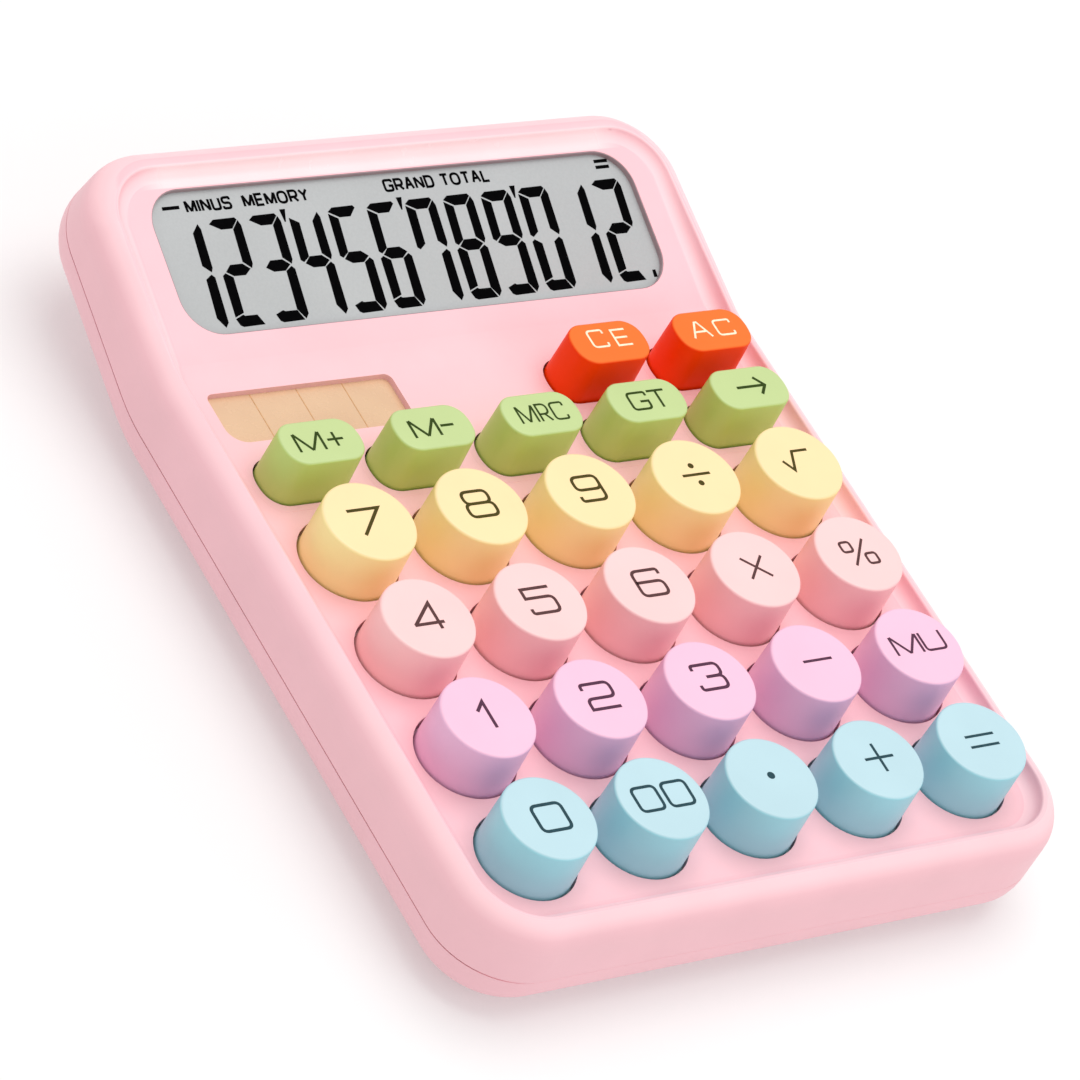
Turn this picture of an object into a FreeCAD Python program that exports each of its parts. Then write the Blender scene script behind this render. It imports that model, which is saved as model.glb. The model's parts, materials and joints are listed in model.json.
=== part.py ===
import FreeCAD, Part
import Sketcher
import math
import os
import re

# Driving dimensions in millimetres, and in degrees where the name says tilt, draft or turn.
SIZES = {
    # case
    "case_width": 104.8,
    "key_section_length": 101.2,
    "display_length": 36.4,
    "display_tilt": 16.0,
    "body_depth": 14.6,
    "rim_height": 3.2,
    "rim_tilt": 12.4,
    "rim_width": 3.4,
    "bend_radius": 17.0,
    "corner_radius": 12.0,
    "top_rounding": 5.0,
    "bottom_rounding": 6.0,
    "dish_cove": 2.5,
    "crest_round": 0.5,
    "seam_depth": 7.6,
    "seam_gap": 0.2,
    "wall": 2.0,
    "deck_thickness": 2.0,
    "cut_margin": 10.0,
    # keys
    "key_side_margin": 14.4,
    "key_front_margin": 14.9,
    "key_rear_margin": 8.05,
    "function_row_pitch": 14.65,
    "clear_row_pitch": 11.4,
    "key_rise": 8.1,
    "key_gap": 1.7,
    "key_taper": 0.2,
    "key_clearance": 0.35,
    "key_edge_round": 0.4,
    "key_wall": 1.4,
    "key_top_thickness": 1.6,
    "oblong_gap": 2.9,
    "oblong_half_depth": 3.8,
    "oblong_draft": 1.8,
    "oblong_corner_round": 0.8,
    "flange_reach": 0.65,
    "flange_thickness": 1.2,
    "flange_play": 0.2,
    "post_radius": 2.0,
    "post_drop": 0.8,
    "dome_play": 0.2,
    # dome sheet and board
    "dome_base_radius": 4.6,
    "dome_top_radius": 3.0,
    "dome_wall": 0.6,
    "sheet_thickness": 0.8,
    "sheet_margin": 1.0,
    "board_thickness": 1.6,
    "board_side_margin": 9.2,
    "board_front_margin": 6.2,
    "board_rear_margin": 0.7,
    "board_boss_radius": 2.5,
    "boss_clearance": 0.3,
    "chip_radius": 6.0,
    "chip_height": 1.6,
    "capacitor_radius": 2.5,
    "capacitor_length": 7.0,
    "capacitor_x": 6.0,
    "capacitor_from_bend": 11.0,
    # screws
    "small_shank_radius": 0.9,
    "small_head_radius": 1.9,
    "small_head_height": 1.3,
    "small_shank_length": 4.2,
    "large_shank_radius": 1.25,
    "large_head_radius": 2.5,
    "large_head_height": 1.6,
    "large_shank_length": 7.0,
    "screw_play": 0.1,
    "case_boss_radius": 2.6,
    "case_boss_wall": 1.0,
    "case_boss_joint": 8.8,
    "case_screw_seat": 11.2,
    "center_boss_x": -1.0,
    "center_boss_from_bend": 6.5,
    # display
    "window_side_margin": 9.4,
    "window_start": 6.4,
    "window_rear_margin": 7.0,
    "window_corner": 6.0,
    "window_lip": 1.0,
    "window_border": 1.5,
    "lens_thickness": 0.9,
    "lens_play": 0.2,
    "lcd_gap": 0.1,
    "lcd_glass": 1.1,
    "lcd_ledge": 2.0,
    "holder_gap": 0.1,
    "holder_thickness": 1.2,
    "holder_start": 2.0,
    "holder_rail": 1.3,
    "holder_stop_inset": 4.5,
    "holder_stop_width": 7.0,
    "holder_boss_radius": 1.8,
    "holder_boss_inset": 5.1,
    "holder_screw_low": 10.0,
    "holder_screw_inset": 7.9,
    "ribbon_margin": 1.0,
    "ribbon_width": 36.0,
    "ribbon_thickness": 0.2,
    "ribbon_bond": 1.7,
    # solar panel
    "solar_side_margin": 7.4,
    "solar_width": 31.6,
    "solar_from_bend": 2.7,
    "solar_height": 9.2,
    "solar_corner": 1.2,
    "solar_big_corner": 3.0,
    "solar_lip": 1.0,
    "solar_border": 0.9,
    "solar_thickness": 1.1,
    "solar_play": 0.2,
    # battery
    "battery_x": -20.0,
    "battery_from_rear": 18.9,
    "cell_radius": 10.0,
    "cell_height": 3.2,
    "cell_step": 0.6,
    "cell_cap_radius": 8.7,
    "cell_play": 0.3,
    "cup_radius": 15.2,
    "cover_radius": 13.0,
    "cover_thickness": 1.2,
    "cover_neck_radius": 10.9,
    "cover_neck_height": 1.5,
    "cover_play": 0.3,
    "ledge_thickness": 0.6,
    "ledge_play": 0.1,
    "lug_reach": 11.8,
    "lug_width": 4.6,
    "lug_thickness": 0.6,
    "lug_turn": 60.0,
    "coin_slot_length": 15.0,
    "coin_slot_width": 1.8,
    "coin_slot_depth": 0.7,
    "contact_thickness": 0.3,
    "contact_width": 5.0,
    "contact_drop": 0.8,
    "contact_flange": 4.0,
    # leads
    "lead_radius": 0.45,
    "solar_lead_bend": 2.4,
    "battery_lead_bend": 6.0,
    "lead_end_run": 1.5,
    "solar_lead_red_inset": 3.6,
    "solar_lead_black_inset": 1.1,
    "solar_lead_from_bend": 5.5,
    "battery_lead_black_shift": 10.0,
    "battery_lead_landing": 5.0,
    # feet
    "foot_height": 1.5,
    "foot_recess": 0.6,
    "foot_radius": 4.5,
    "foot_round": 0.5,
    "foot_from_side": 14.4,
    "foot_from_front": 13.7,
    "foot_from_bend": 9.5,
}

# Places and sizes that follow from the driving dimensions.
# "depth" counts down from the deck or display face, "along" runs up the display face from the bend.
DERIVED = {
    "tilt_cos": "cos(display_tilt * 1deg)",
    "tilt_sin": "sin(display_tilt * 1deg)",
    "bend_run": "bend_radius * tan(display_tilt / 2 * 1deg)",
    "rear_reach": "(display_length - bottom_rounding) * cos(display_tilt * 1deg)"
                  " + (body_depth - bottom_rounding) * sin(display_tilt * 1deg) + bottom_rounding",
    "front_y": "-(key_section_length + rear_reach) / 2",
    "bend_y": "front_y + key_section_length",
    "key_pitch_x": "(case_width - 2 * key_side_margin) / 4",
    "key_pitch_y": "(key_section_length - key_front_margin - function_row_pitch - clear_row_pitch"
                   " - key_rear_margin) / 3",
    "key_top_radius": "min(key_pitch_x; key_pitch_y) / 2 - key_gap",
    "key_base_radius": "key_top_radius + key_taper",
    "oblong_radius": "key_pitch_x / 2 - oblong_gap",
    "grid_y": "front_y + key_front_margin + 2 * key_pitch_y",
    "deck_z": "foot_height + body_depth",
    "bend_start": "bend_y - bend_run",
    "rim_radius": "bend_radius - rim_height",
    "rim_arc_y": "bend_start + rim_radius * sin(rim_tilt * 1deg)",
    "rim_arc_z": "deck_z + rim_height + rim_radius * (1 - cos(rim_tilt * 1deg))",
    "rim_arc_along": "(rim_arc_y - bend_y) * tilt_cos + (rim_arc_z - deck_z) * tilt_sin",
    "rim_line": "(display_length - rim_arc_along) / cos((display_tilt - rim_tilt) * 1deg)",
    "rim_end_y": "rim_arc_y + rim_line * cos(rim_tilt * 1deg)",
    "rim_end_z": "rim_arc_z + rim_line * sin(rim_tilt * 1deg)",
    "function_row_y": "grid_y + key_pitch_y + function_row_pitch",
    "clear_row_y": "function_row_y + clear_row_pitch",
    "key_hole_radius": "key_base_radius + key_clearance",
    "flange_top": "deck_thickness + flange_play",
    "flange_bottom": "flange_top + flange_thickness",
    "post_bottom": "flange_bottom + post_drop",
    "oblong_growth": "(key_rise + flange_top) * tan(oblong_draft * 1deg)",
    "oblong_base_radius": "oblong_radius + oblong_growth",
    "oblong_base_half_depth": "oblong_half_depth + oblong_growth",
    "oblong_hole_radius": "oblong_base_radius + key_clearance",
    "oblong_hole_half_depth": "oblong_base_half_depth + key_clearance",
    "dome_top": "post_bottom + dome_play",
    "floor_depth": "body_depth - wall",
    "board_spare": "floor_depth - deck_thickness - 2 * capacitor_radius - board_thickness - chip_height",
    "board_top": "deck_thickness + 2 * capacitor_radius + board_spare / 2",
    "board_bottom": "board_top + board_thickness",
    "sheet_top": "board_top - sheet_thickness",
    "dome_height": "sheet_top - dome_top",
    "dome_draft": "atan((dome_base_radius - dome_top_radius) / dome_height) / 1deg",
    "sheet_front": "grid_y - 2 * key_pitch_y - dome_base_radius - sheet_margin",
    "sheet_step": "function_row_y + dome_base_radius + sheet_margin",
    "sheet_rear": "clear_row_y + dome_base_radius + sheet_margin / 4",
    "sheet_step_x": "key_pitch_x - dome_base_radius - sheet_margin",
    "board_width": "case_width - 2 * board_side_margin",
    "board_front": "grid_y - 2 * key_pitch_y - board_front_margin",
    "board_rear": "bend_y - board_rear_margin",
    "case_counterbore": "large_head_radius + case_boss_wall / 2",
    "window_width": "case_width - 2 * window_side_margin",
    "window_end": "display_length - window_rear_margin",
    "lens_bottom": "window_lip + lens_thickness",
    "lcd_top": "deck_thickness + lcd_gap",
    "lcd_bottom": "lcd_top + 2 * lcd_glass",
    "lcd_front_edge": "window_start - window_border",
    "lcd_rear_edge": "window_end + window_border",
    "lcd_half_width": "window_width / 2 + window_border",
    "holder_top": "lcd_bottom + holder_gap",
    "holder_bottom": "holder_top + holder_thickness",
    "holder_width": "case_width - 2 * (wall + window_border)",
    "holder_end": "display_length - wall - window_border",
    "holder_corner": "corner_radius - wall - window_border",
    "holder_stop_x": "window_width / 2 - holder_stop_inset",
    "holder_screw_high": "holder_end - holder_screw_inset",
    "holder_boss_x": "case_width / 2 - holder_boss_inset",
    "ribbon_x": "holder_stop_x - (holder_stop_width + ribbon_width) / 2 - ribbon_margin",
    "solar_left": "case_width / 2 - solar_side_margin",
    "solar_rear": "bend_y - solar_from_bend",
    "solar_front": "solar_rear - solar_height",
    "solar_right": "solar_width - solar_left",
    "solar_back": "solar_lip + solar_thickness",
    "battery_along": "display_length - battery_from_rear",
    "ledge_bottom": "cover_thickness + ledge_play",
    "ledge_top": "ledge_bottom + ledge_thickness",
    "cover_top": "cover_thickness + cover_neck_height",
    "groove_top": "cover_top + cell_play",
    "cell_top": "groove_top + cell_height",
    "cup_top": "cell_top + contact_drop + contact_thickness / 2",
    "cup_depth": "body_depth - cup_top",
    "groove_radius": "lug_reach + cover_play + cover_play / 2",
    "ledge_radius": "cover_neck_radius + cover_play",
    "cell_bore": "cell_radius + cell_play",
    "lead_depth": "cup_depth - contact_thickness - lead_radius",
    "lead_floor_z": "deck_z - board_top + lead_radius",
    "contact_start": "battery_along - cell_bore - contact_flange",
    "foot_x": "case_width / 2 - foot_from_side",
}

KEY_ROWS = [
    ("grid_y - 2 * key_pitch_y", ["key_0", "key_00", "key_decimal", "key_add", "key_equals"]),
    ("grid_y - key_pitch_y", ["key_1", "key_2", "key_3", "key_subtract", "key_mark_up"]),
    ("grid_y", ["key_4", "key_5", "key_6", "key_multiply", "key_percent"]),
    ("grid_y + key_pitch_y", ["key_7", "key_8", "key_9", "key_divide", "key_square_root"]),
]
FUNCTION_ROWS = [
    ("function_row_y", ["key_memory_add", "key_memory_subtract", "key_memory_recall",
                        "key_grand_total", "key_backspace"]),
    ("clear_row_y", [None, None, None, "key_clear_entry", "key_all_clear"]),
]
BOARD_BOSSES = [
    ("-0.5 * key_pitch_x", "grid_y - 1.5 * key_pitch_y"),
    ("0.5 * key_pitch_x", "grid_y - 1.5 * key_pitch_y"),
    ("-1.5 * key_pitch_x", "grid_y - 0.5 * key_pitch_y"),
    ("1.5 * key_pitch_x", "grid_y - 0.5 * key_pitch_y"),
    ("-0.5 * key_pitch_x", "grid_y + 0.5 * key_pitch_y"),
    ("0.5 * key_pitch_x", "grid_y + 0.5 * key_pitch_y"),
]
CASE_BOSSES = [
    ("-1.5 * key_pitch_x", "grid_y - 1.5 * key_pitch_y"),
    ("1.5 * key_pitch_x", "grid_y - 1.5 * key_pitch_y"),
    ("-1.5 * key_pitch_x", "grid_y + 0.5 * key_pitch_y"),
    ("1.5 * key_pitch_x", "grid_y + 0.5 * key_pitch_y"),
    ("center_boss_x", "bend_y - center_boss_from_bend"),
]
HOLDER_BOSSES = [
    ("-holder_boss_x", "holder_screw_low"),
    ("holder_boss_x", "holder_screw_low"),
    ("-holder_boss_x", "holder_screw_high"),
    ("holder_boss_x", "holder_screw_high"),
]
FEET = {
    "foot_front_left": ("-foot_x", "front_y + foot_from_front"),
    "foot_front_right": ("foot_x", "front_y + foot_from_front"),
    "foot_rear_left": ("-foot_x", "bend_y - foot_from_bend"),
    "foot_rear_right": ("foot_x", "bend_y - foot_from_bend"),
}

doc = FreeCAD.newDocument("desk_calculator")
sizes = doc.addObject("Spreadsheet::Sheet", "Sizes")
derived = doc.addObject("Spreadsheet::Sheet", "Derived")
SHEET_OF = {name: "Sizes" for name in SIZES}
SHEET_OF.update({name: "Derived" for name in DERIVED})
nodes = []


def expression(text):
    """The text with every size named by its sheet."""
    return re.sub(r"[a-z][a-z_]*", lambda m: f"{SHEET_OF[m[0]]}.{m[0]}" if m[0] in SHEET_OF else m[0], text)


def value(text):
    """The number that an expression of sizes stands for now."""
    return float(sizes.evalExpression(expression(text)))


def fill_sheets():
    for row, (name, number) in enumerate(SIZES.items(), start=1):
        sizes.set(f"A{row}", str(number))
        sizes.setAlias(f"A{row}", name)
    doc.recompute()
    for row, (name, formula) in enumerate(DERIVED.items(), start=1):
        derived.set(f"A{row}", "=" + expression(formula))
        derived.setAlias(f"A{row}", name)
        doc.recompute()


def bind(thing, **properties):
    """Ties properties to expressions of the sizes."""
    for name, text in properties.items():
        thing.setExpression(name, expression(text))


def turned(angle):
    """A placement turned about the X axis."""
    return FreeCAD.Placement(FreeCAD.Vector(), FreeCAD.Rotation(FreeCAD.Vector(1, 0, 0), value(angle)))


def new_body(label, place=("0", "0", "0"), tilt=None):
    body = doc.addObject("PartDesign::Body", label)
    body.Label = label
    if tilt:
        body.Placement = turned(tilt)
        body.setExpression("Placement.Rotation.Angle", expression(tilt))
    for axis, text in zip("xyz", place):
        body.setExpression(f"Placement.Base.{axis}", expression(text))
    return body


def display_body(label):
    """A body whose Y axis runs up the display face and whose Z axis stands out of it."""
    return new_body(label, ("0", "bend_y", "deck_z"), "display_tilt")


def keep(thing):
    nodes.append(thing)
    return thing


def new_sketch(body, name, plane, at=("0", "0", "0"), tilt=None):
    sketch = body.newObject("Sketcher::SketchObject", f"{body.Label}_{name}")
    support = next(o for o in body.Origin.OriginFeatures if o.Role == plane)
    sketch.AttachmentSupport = [(support, "")]
    sketch.MapMode = "FlatFace"
    if tilt:
        sketch.AttachmentOffset = turned(tilt)
        sketch.setExpression("AttachmentOffset.Rotation.Angle", expression(tilt))
    for axis, text in zip("xyz", at):
        sketch.setExpression(f"AttachmentOffset.Base.{axis}", expression(text))
    return sketch


def arc_between(start, end, turn, radius):
    """A circular arc under half a turn, with its centre to the left (ccw) or right (cw) of the way."""
    chord = end - start
    side = 1 if turn == "ccw" else -1
    normal = FreeCAD.Vector(-chord.y, chord.x, 0).normalize() * side
    center = (start + end) * 0.5 + normal * math.sqrt(radius ** 2 - chord.Length ** 2 / 4)
    angles = [math.atan2(p.y - center.y, p.x - center.x) for p in (start, end)]
    first, last = angles if turn == "ccw" else reversed(angles)
    return Part.ArcOfCircle(Part.Circle(center, FreeCAD.Vector(0, 0, 1), radius), first, last)


def add_constraints(sketch, constraints):
    """Adds pairs of a constraint and the expression that drives it, or None."""
    indices = sketch.addConstraint([constraint for constraint, text in constraints])
    for index, (constraint, text) in zip(indices, constraints):
        if text:
            sketch.setExpression(f"Constraints[{index}]", expression(text))


def pin(geometry, vertex, x, y):
    """Constraints that hold a vertex at coordinates given as expressions."""
    held = []
    for text, kind, axis in ((x, "DistanceX", -2), (y, "DistanceY", -1)):
        if text == "0":
            held.append((Sketcher.Constraint("PointOnObject", geometry, vertex, axis), None))
        else:
            held.append((Sketcher.Constraint(kind, -1, 1, geometry, vertex, value(text)), text))
    return held


def draw(sketch, points, closed=True):
    """Draws lines and arcs through points (x, y) or (x, y, turn, radius of the arc to the next point)."""
    corners = [FreeCAD.Vector(value(p[0]), value(p[1]), 0) for p in points]
    count = len(points) if closed else len(points) - 1
    ends = []
    constraints = []
    for i in range(count):
        start, end = corners[i], corners[(i + 1) % len(points)]
        if len(points[i]) == 2:
            geometry = sketch.addGeometry(Part.LineSegment(start, end), False)
            ends.append((geometry, 1, 2))
        else:
            turn, radius = points[i][2:]
            geometry = sketch.addGeometry(arc_between(start, end, turn, value(radius)), False)
            ends.append((geometry, 1, 2) if turn == "ccw" else (geometry, 2, 1))
            constraints.append((Sketcher.Constraint("Radius", geometry, value(radius)), radius))
        constraints += pin(geometry, ends[-1][1], *points[i][:2])
    for i in range(count if closed else count - 1):
        following = ends[(i + 1) % count]
        joint = Sketcher.Constraint("Coincident", ends[i][0], ends[i][2], following[0], following[1])
        constraints.append((joint, None))
    if not closed:
        constraints += pin(ends[-1][0], ends[-1][2], *points[-1][:2])
    add_constraints(sketch, constraints)


def draw_circle(sketch, x, y, radius):
    center = FreeCAD.Vector(value(x), value(y), 0)
    geometry = sketch.addGeometry(Part.Circle(center, FreeCAD.Vector(0, 0, 1), value(radius)), False)
    rule = Sketcher.Constraint("Radius", geometry, value(radius))
    add_constraints(sketch, pin(geometry, 3, x, y) + [(rule, radius)])


def draw_box(sketch, left, right, low, high):
    draw(sketch, [(left, low), (right, low), (right, high), (left, high)])


def draw_round_box(sketch, left, right, low, high, corner, low_left_corner=None):
    big = low_left_corner or corner
    draw(sketch, [
        (f"{left} + {big}", low),
        (f"{right} - {corner}", low, "ccw", corner),
        (right, f"{low} + {corner}"),
        (right, f"{high} - {corner}", "ccw", corner),
        (f"{right} - {corner}", high),
        (f"{left} + {corner}", high, "ccw", corner),
        (left, f"{high} - {corner}"),
        (left, f"{low} + {big}", "ccw", big),
    ])


def draw_flat_circle(sketch, x, y, radius, half_depth):
    """A circle cut by two flats that run along X."""
    half_chord = f"sqrt(({radius})^2 - ({half_depth})^2)"
    draw(sketch, [
        (f"{x} + {half_chord}", f"{y} - ({half_depth})", "ccw", radius),
        (f"{x} + {half_chord}", f"{y} + ({half_depth})"),
        (f"{x} - {half_chord}", f"{y} + ({half_depth})", "ccw", radius),
        (f"{x} - {half_chord}", f"{y} - ({half_depth})"),
    ])


def extrude(kind, sketch, length, symmetric=False, flip=False, draft=None):
    """A pad or a pocket; a pad rises along the sketch's normal and a pocket sinks, unless flipped."""
    body = sketch.getParentGeoFeatureGroup()
    feature = body.newObject(f"PartDesign::{kind}", f"{sketch.Label}_{kind.lower()}")
    feature.Profile = sketch
    bind(feature, Length=length)
    if symmetric:
        feature.SideType = "Symmetric"
    feature.Reversed = flip
    if draft:
        bind(feature, TaperAngle=draft)
    doc.recompute()
    return feature


def pad(sketch, length, **options):
    return extrude("Pad", sketch, length, **options)


def pocket(sketch, length, **options):
    before = sketch.getParentGeoFeatureGroup().Shape.Volume
    feature = extrude("Pocket", sketch, length, **options)
    if feature.Shape.Volume > before - 1e-6:
        raise RuntimeError(f"{feature.Label} cuts nothing")
    return feature


def spin(kind, sketch, axis="V_Axis"):
    """A full turn of a sketch about its own axis, added or taken away."""
    body = sketch.getParentGeoFeatureGroup()
    feature = body.newObject(f"PartDesign::{kind}", f"{sketch.Label}_{kind.lower()}")
    feature.Profile = sketch
    feature.ReferenceAxis = (sketch, [axis])
    feature.Angle = 360
    doc.recompute()
    return feature


def fillet(body, chosen, radius):
    """Rounds the edges of a body's last feature for which chosen(edge) is true."""
    base = body.Tip
    names = [f"Edge{i}" for i, edge in enumerate(base.Shape.Edges, start=1) if chosen(edge)]
    feature = body.newObject("PartDesign::Fillet", f"{body.Label}_fillet")
    feature.Base = (base, names)
    bind(feature, Radius=radius)
    doc.recompute()
    return feature


def around(body, feature, count):
    """Repeats a feature evenly about the body's Z axis."""
    axis = next(o for o in body.Origin.OriginFeatures if o.Role == "Z_Axis")
    pattern = body.newObject("PartDesign::PolarPattern", f"{feature.Label}_pattern")
    pattern.Originals = [feature]
    pattern.Axis = (axis, [""])
    pattern.Angle = 360
    pattern.Occurrences = count
    body.Tip = pattern
    doc.recompute()
    return pattern


def on_display(along, depth):
    """Side view coordinates of a point given along the display face and below it."""
    return (f"bend_y + ({along}) * tilt_cos + ({depth}) * tilt_sin",
            f"deck_z + ({along}) * tilt_sin - ({depth}) * tilt_cos")


def is_at(number, text):
    return abs(number - value(text)) < 1e-4


def along_of(point):
    return (point.y - value("bend_y")) * value("tilt_cos") + (point.z - value("deck_z")) * value("tilt_sin")


def corner_edge(half_width, front, rear):
    """True for the four upright edges where the side walls meet the front and rear walls."""
    def chosen(edge):
        points = [v.Point for v in edge.Vertexes]
        if edge.BoundBox.XLength > 1e-3 or not all(is_at(abs(p.x), half_width) for p in points):
            return False
        return all(is_at(p.y, front) for p in points) or all(is_at(along_of(p), rear) for p in points)
    return chosen


def border_edge(body, sign):
    """True for the edges round the faces that look up (sign 1) or down (sign -1) all over."""
    steep = 0.8
    counts = {}
    for face in body.Tip.Shape.Faces:
        low_u, high_u, low_v, high_v = face.ParameterRange
        if sign * face.normalAt((low_u + high_u) / 2, (low_v + high_v) / 2).z > steep:
            for edge in face.Edges:
                counts[edge.hashCode()] = counts.get(edge.hashCode(), 0) + 1
    return lambda edge: counts.get(edge.hashCode()) == 1


def case_profile(sketch):
    """The side view of the closed case: a flat slab whose rear end bends up to carry the display."""
    draw(sketch, [
        ("front_y", "foot_height"),
        ("bend_start", "foot_height", "ccw", "bend_radius + body_depth"),
        on_display("bend_run", "body_depth"),
        on_display("display_length", "body_depth"),
        ("rim_end_y", "rim_end_z"),
        ("rim_arc_y", "rim_arc_z", "cw", "rim_radius"),
        ("bend_start", "deck_z + rim_height"),
        ("front_y", "deck_z + rim_height"),
    ])


def case_block(body):
    """The outer form of the closed case, with its upright corners rounded."""
    sketch = new_sketch(body, "side_view", "YZ_Plane")
    case_profile(sketch)
    pad(sketch, "case_width", symmetric=True)
    fillet(body, corner_edge("case_width / 2", "front_y", "display_length"), "corner_radius")


def above_bend(sketch, front, rear, depth):
    """The side view of all that lies above a bent line at one depth."""
    top = on_display(rear, "-case_width / 4")
    draw(sketch, [
        (front, f"deck_z - ({depth})"),
        ("bend_start", f"deck_z - ({depth})", "ccw", f"bend_radius + ({depth})"),
        on_display("bend_run", depth),
        on_display(rear, depth),
        top,
        (front, top[1]),
    ])


def cut_at_seam(body, depth, above):
    sketch = new_sketch(body, "seam", "YZ_Plane")
    front = "front_y - cut_margin"
    rear = "display_length + cut_margin"
    if above:
        above_bend(sketch, front, rear, depth)
    else:
        bottom = on_display(rear, "body_depth + cut_margin")
        draw(sketch, [
            (front, "-cut_margin"),
            (bottom[0], "-cut_margin"),
            bottom,
            on_display(rear, depth),
            on_display("bend_run", depth) + ("cw", f"bend_radius + {depth}"),
            ("bend_start", f"deck_z - ({depth})"),
            (front, f"deck_z - ({depth})"),
        ])
    pocket(sketch, "case_width + cut_margin", symmetric=True)


def hollow(body):
    """Takes the inside of the closed case out of a shell."""
    inside = new_body(f"{body.Label}_inside")
    sketch = new_sketch(inside, "side_view", "YZ_Plane")
    draw(sketch, [
        ("front_y + wall", "foot_height + wall"),
        ("bend_start", "foot_height + wall", "ccw", "bend_radius + floor_depth"),
        on_display("bend_run", "floor_depth"),
        on_display("display_length - wall", "floor_depth"),
        on_display("display_length - wall", "deck_thickness"),
        on_display("bend_run", "deck_thickness") + ("cw", "bend_radius + deck_thickness"),
        ("bend_start", "deck_z - deck_thickness"),
        ("front_y + wall", "deck_z - deck_thickness"),
    ])
    pad(sketch, "case_width - 2 * wall", symmetric=True)
    sides = corner_edge("case_width / 2 - wall", "front_y + wall", "display_length - wall")
    fillet(inside, sides, "corner_radius - wall")
    fillet(inside, border_edge(inside, -1), "bottom_rounding - wall")
    take_away(body, inside)


def take_away(body, tool):
    cut = body.newObject("PartDesign::Boolean", f"{tool.Label}_cut")
    cut.setObjects([tool])
    cut.Type = "Cut"
    doc.recompute()


def make_dish():
    """The shape scooped out of the top: flat over the keys, tilted over the display, coved at its foot."""
    body = new_body("dish")
    sketch = new_sketch(body, "side_view", "YZ_Plane")
    above_bend(sketch, "front_y + rim_width", "display_length - rim_width", "0")
    pad(sketch, "case_width - 2 * rim_width", symmetric=True)
    sides = corner_edge("case_width / 2 - rim_width", "front_y + rim_width", "display_length - rim_width")
    fillet(body, sides, "corner_radius - rim_width")
    fillet(body, border_edge(body, -1), "dish_cove")
    return body


def crest_edge(body):
    """True for the front stretch of the crest between the rim and the dish, which leads all the way round."""
    near = value("front_y + rim_width") - 1e-3
    far = near + value("dish_cove / 2")

    def middle(edge):
        return edge.valueAt((edge.FirstParameter + edge.LastParameter) / 2)

    front = [e for e in body.Tip.Shape.Edges if abs(middle(e).x) < 1e-3 and near < middle(e).y < far]
    crest = max(front, key=lambda e: middle(e).z)
    return crest.isSame


def key_places():
    """Each key's name, place and whether it is round."""
    for rows, is_round in ((KEY_ROWS, True), (FUNCTION_ROWS, False)):
        for y, names in rows:
            for column, name in enumerate(names):
                if name:
                    yield name, f"{column - 2} * key_pitch_x", y, is_round


def circles(body, name, depth, places, radius):
    """A level sketch of equal circles at a depth below the deck."""
    sketch = new_sketch(body, name, "XY_Plane", ("0", "0", f"deck_z - ({depth})"))
    for x, y in places:
        draw_circle(sketch, x, y, radius)
    return sketch


def display_circles(body, name, depth, places, radius):
    """A sketch of equal circles at a depth below the display face."""
    y, z = on_display("0", depth)
    sketch = new_sketch(body, name, "XY_Plane", ("0", y, z), "display_tilt")
    for x, along in places:
        draw_circle(sketch, x, along, radius)
    return sketch


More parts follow.
